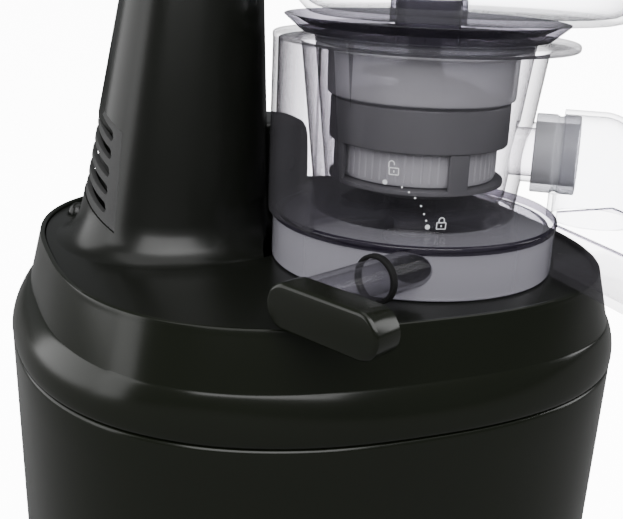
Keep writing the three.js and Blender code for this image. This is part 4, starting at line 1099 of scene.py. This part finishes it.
    def screw(self) -> None:
        """The auger: a core with a rib that winds round it."""
        core = soften([
            (6.1, 12), (8, 12), (8, 42.3), (20, 42.3), (20, 46), (13, 55), (10, 83), (6, 91),
            (4, 91), (4, 96), (0.3, 96), (0.3, 28.5), (6.1, 28.5),
        ], 1.2, True)
        parts = [Shape().lathe(core, self.origin).thing("core_part")]
        steps, turns = 150, 2.5
        rings = []
        for i in range(steps + 1):
            share = i / steps
            t, z, reach = share * turns * TAU, 46 + 39 * share, 31.4 - 6 * share
            corners = soften([(8, -3), (reach, -1), (reach, 1), (8, 3)], 0.8, True, 3)
            rings.append([self.at(r * math.cos(t), r * math.sin(t), z + up) for r, up in corners])
        parts.append(Shape().skin(rings).thing("flight_part"))
        parts.append(RibRing(AUGER).stand("teeth_part", self.at(0, 0, 35.5), 16, 9.6, 1.2, 4.8, 0))
        dress(merged("auger_screw", *parts), AUGER, "auger", "auger")

    def spout_parts(self) -> None:
        """The spout's ring and the hollow lever that pours."""
        barrel, turn = self.beside_spout(0, self.spout_y, self.spout_z), self.spout_turn
        low, high = self.ring_of_spout - 1.6, self.ring_of_spout + 1.6
        profile = soften([(8.3, low), (10, low), (10, high), (8.3, high)], 0.8, True)
        ring = Shape().tube(profile, barrel, turn).thing("barrel_ring")
        dress(ring, RUBBER, "bowl_set", "spout_ring")
        back, face = self.spout_end - 0.3, self.spout_end - 12.8
        tip = self.spout_y - self.lever_length

        def outline(x: float, radius: float) -> list[Point]:
            """The lever's long round outline at x."""
            half = lambda y, start: [
                self.beside_spout(x, y + radius * math.cos(t), self.spout_z + radius * math.sin(t))
                for t in start + np.arange(33) / 32 * math.pi
            ]
            return half(self.spout_y, -math.pi / 2) + half(tip, math.pi / 2)

        edge = [(face, -1.6), (face + 0.15, -1.0), (face + 0.6, -0.4), (face + 1.2, 0),
                (back - 1.0, 0), (back - 0.5, -0.1), (back - 0.1, -0.5), (back, -0.9)]
        radius = self.lever_radius
        lever = Shape().skin([outline(x, radius + grow) for x, grow in edge]).thing("pouring_lever")
        channel = Shape().skin([outline(x, radius - 3) for x in (face + 2.5, back - 2.5)])
        inlet = Shape().rod(self.spout_bore, back - 5, back + 2, barrel, turn)
        near, far = face + 2.5, back - 2.5
        corners = [(near, tip - 5), (far, tip - 5), (far, tip + 5), (near, tip + 5)]
        outlet = Shape().skin([
            [self.beside_spout(x, y, z) for x, y in corners]
            for z in (self.spout_z - radius - 2, self.spout_z)
        ])
        carve(lever, "DIFFERENCE", channel, inlet, outlet)
        dress(lever, GLOSS, "lever", "drip_lever")

    def pulp_path(self) -> None:
        """The sleeve, elbow hood and chute that the pulp leaves by."""
        start = self.at(0, 0, self.pulp_z)
        begin = self.cup(self.pulp_z + 17) + 0.3
        profile = [(13.4, begin), (17, begin), (17, 59), (16.2, 60), (16.2, 61.5), (17, 62.5),
                   (17, 69), (13.4, 69)]
        sleeve = Shape().tube(soften(profile, 0.8, True), start, self.pulp)
        dress(sleeve.thing("soft_sleeve"), SILICONE, "bowl_set", "pulp_sleeve")
        corner = self.at(78 * math.cos(self.pulp), 78 * math.sin(self.pulp), self.pulp_z)

        def elbow(radius: float, back: float, foot: float) -> list[Shape]:
            """A level tube, a ball and an upright tube round the hood's corner."""
            turns = np.linspace(-1.56, 1.56, 40)
            ball = [(radius * math.cos(t), radius * math.sin(t)) for t in turns]
            return [
                Shape().rod(radius, back, 78, start, self.pulp),
                Shape().turned(ball, corner, 64),
                Shape().turned([(radius, foot - self.pulp_z), (radius, 0)], corner, 64),
            ]

        first, *others = elbow(19.4, 62, 26)
        hood = carve(first.thing("clear_hood"), "UNION", *others)
        carve(hood, "DIFFERENCE", *elbow(17.4, 57, 20))
        dress(round_edges(hood, 0.4, 50), CRYSTAL, "bowl_set", "pulp_hood")
        chute = round_edges(copied("pulp_chute", "open_chute"), 0.9)
        dress(chute, CHUTE, "bowl_set", "pulp_chute")
        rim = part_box("pulp_chute")[1].z / MM
        # Painted shade: the chute's top rim gets the near-black edge-shade copy of the plastic.
        repaint(chute, EDGE_SHADE, lambda c: c.z > rim - 0.6)

    @property
    def feed(self) -> Pair:
        """The feed tube's axis from the bowl's."""
        return (24 * math.cos(math.radians(60)), 24 * math.sin(math.radians(60)))

    def lid(self) -> None:
        """The dished lid with its feed tube, and the gasket under it."""
        dish = soften([(0.3, 99.8), (53, 99.8), (61.5, 107), (58.5, 107), (50, 102.5),
                       (0.3, 102.5)],
                      1.4, True)
        piece = Shape().lathe(dish, self.origin).thing("clear_lid")
        mouth = self.at(*self.feed, 0)
        carve(piece, "UNION", Shape().turned([(17.4, 101.5), (17.4, 113.6), (17, 114)], mouth),
              Shape().turned([(7, 92.3), (7, 101)], self.origin, 48))
        carve(piece, "DIFFERENCE", Shape().turned([(15, 95), (15, 118)], mouth),
              Shape().turned([(4.3, 86), (4.3, 96.9)], self.origin, 48))
        dress(piece, LID, "lid", "lid")
        gasket = soften([(42.6, 95.8), (46.6, 95.8), (46.6, 99.5), (42.6, 99.5)], 0.8, True)
        ring = Shape().lathe(gasket, self.origin).thing("lid_ring")
        dress(ring, SILICONE, "lid", "lid_gasket")

    def hopper(self) -> None:
        """The wide clear tray that the produce is laid in."""
        centre, low = (self.axis.x + 20, self.axis.y), self.deck + 107.3
        outside = [(0, -9, 0), (0, -6, 0.1), (0, -3.4, 0.8), (0, -1.4, 2.2), (0.1, 0, 5)]
        outside += [(s, 0, 42 * h) for s, h in ((0.32, 0.28), (0.6, 0.48), (0.8, 0.68), (1, 0.96))]
        outside += [(1, 0, 41.6), (1, -0.6, 42), (1, -1.9, 42), (1, -2.5, 41.6)]
        inside = [(1, 0, 40.3), (0.8, 0, 28.6), (0.6, 0, 20.2), (0.32, 0, 11.8), (0.1, 0, 6.2)]
        inside += [(0, -1.6, 4.2), (0, -4, 3), (0, -6.5, 2.6), (0, -9, 2.5)]
        ring = lambda s, g, z: oval((74 + 13 * s, 61 + 12 * s), 2, centre, low + z, g)
        rings = [ring(*row) for row in outside] + [ring(s, g - 2.5, z) for s, g, z in inside]
        tray = Shape().skin(rings).thing("clear_tray")
        hole = Shape().turned([(17.7, 100), (17.7, 118)], self.at(*self.feed, 0))
        dress(carve(tray, "DIFFERENCE", hole), CRYSTAL, "lid", "hopper_tray")

    def pusher(self) -> None:
        """The pusher's barrel and its gripped cap."""
        mouth = self.at(*self.feed, 0)
        stem = soften([(0.3, 97), (12.2, 97), (14.2, 99), (14.2, 196), (0.3, 196)], 1.2)
        dress(Shape().turned(stem, mouth).thing("push_stem"), FROSTED, "pusher", "pusher")
        shape = soften([(0.3, 196.3), (16, 196.3), (17.6, 200.3), (23.5, 205.3), (23.5, 210.3),
                        (20, 214.3), (0.3, 214.3)], 2.4)
        cap = Shape().turned(shape, mouth).thing("cap_part")
        grips = RibRing(GLOSS).stand("grip_part", self.at(*self.feed, 207.6), 36, 23.1, 0.8, 4.5, 0)
        dress(merged("push_cap", cap, grips), GLOSS, "pusher", "pusher_cap")


# ---- Stage, lights and camera ----------------------------------------------------------------


@dataclass(frozen=True)
class Lamp:
    """A soft rectangular lamp that faces the juicer, in metres and watts."""

    name: str
    place: Point
    size: Pair
    power: float
    aim: Point = (0, 0, 0.16)

    def light(self) -> None:
        """Hangs the lamp."""
        data = bpy.data.lights.new(self.name, "AREA")
        data.shape, data.size, data.size_y = "RECTANGLE", *self.size
        data.energy = self.power
        lamp = bpy.data.objects.new(self.name, data)
        bpy.context.scene.collection.objects.link(lamp)
        lamp.location = self.place
        towards = Vector(self.aim) - Vector(self.place)
        lamp.rotation_euler = towards.to_track_quat("-Z", "Y").to_euler()


@dataclass
class Studio:
    """Pale floor, bright surround, soft lamps and the camera."""

    eye: Point = (-0.1771, -0.4164, 0.2903)
    right: Point = (0.92858, -0.36886, 0.04102)
    up: Point = (0.07423, 0.29287, 0.95326)
    ahead: Point = (0.36364, 0.88214, -0.29934)
    lens: float = 57.78
    glow: float = 12.0
    lamps: tuple[Lamp, ...] = (
        Lamp("overhead", (0.1, -0.2, 1.6), (2.2, 2.2), 22),
        Lamp("back_left", (-1.6, 1.0, 0.6), (1.6, 1.6), 20),
        Lamp("left_side", (-1.3, 0.0, 0.5), (0.4, 1.0), 4),
        Lamp("right_side", (1.4, -0.3, 0.7), (0.5, 1.0), 7),
        Lamp("front", (-0.6, -1.6, 1.6), (2.4, 1.8), 75),
    )

    def build(self) -> None:
        """Sets the stage."""
        floor = Shape().box((-6000, -6000, -20), (6000, 6000, -0.2)).thing("floor")
        floor.data.materials.append(self.pale_floor())
        for lamp in self.lamps:
            lamp.light()
        self.surround()
        self.camera()

    def pale_floor(self) -> bpy.types.Material:
        """White to the eye, with the juicer's shadow, and dim to what it lights."""
        recipe = Recipe("pale_floor")
        colour = recipe.mix(recipe.noise(3, 2), (0.86, 0.86, 0.86), (0.9, 0.9, 0.9))
        white = recipe.node("BsdfDiffuse", None, {"Color": colour})
        glow = recipe.node("Emission", None, {"Color": (1, 1, 1, 1), "Strength": self.glow})
        seen = recipe.node("AddShader", None, {0: white.outputs[0], 1: glow.outputs[0]})
        dim = recipe.node("BsdfDiffuse", None, {"Color": (0.2, 0.2, 0.2, 1)})
        eye = recipe.node("LightPath", None, {}).outputs["Is Camera Ray"]
        sockets = {0: eye, 1: dim.outputs[0], 2: seen.outputs[0]}
        return recipe.output(recipe.node("MixShader", None, sockets))

    def surround(self) -> None:
        """A white backdrop for the eye, with a dimmer sky to light the juicer."""
        world = bpy.data.worlds.new("studio")
        bpy.context.scene.world = world
        world.use_nodes = True
        tree = world.node_tree
        tree.nodes.clear()
        add = tree.nodes.new
        seen, dim = add("ShaderNodeBackground"), add("ShaderNodeBackground")
        seen.inputs[0].default_value, seen.inputs[1].default_value = (1, 1, 1, 1), 4.0
        dim.inputs[0].default_value, dim.inputs[1].default_value = (0.95, 0.97, 1, 1), 0.2
        path, mix = add("ShaderNodeLightPath"), add("ShaderNodeMixShader")
        out = add("ShaderNodeOutputWorld")
        tree.links.new(path.outputs["Is Camera Ray"], mix.inputs[0])
        tree.links.new(dim.outputs[0], mix.inputs[1])
        tree.links.new(seen.outputs[0], mix.inputs[2])
        tree.links.new(mix.outputs[0], out.inputs[0])

    def camera(self) -> None:
        """The camera, level with the deck's far side and looking down on it."""
        data = bpy.data.cameras.new("camera")
        data.lens, data.sensor_width = self.lens, 36
        data.clip_start, data.clip_end = 0.01, 50
        made = bpy.data.objects.new("camera", data)
        bpy.context.scene.collection.objects.link(made)
        turn = Matrix((self.right, self.up, tuple(-v for v in self.ahead))).transposed()
        made.matrix_world = Matrix.Translation(self.eye) @ turn.to_4x4()
        bpy.context.scene.camera = made


def main() -> None:
    """Builds the juicer's looks and its stage."""
    logging.basicConfig(level=logging.INFO, format="%(name)s: %(message)s")
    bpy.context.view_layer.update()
    Base().build()
    BowlSet().build()
    Studio().build()


if __name__ == "__main__":
    main()
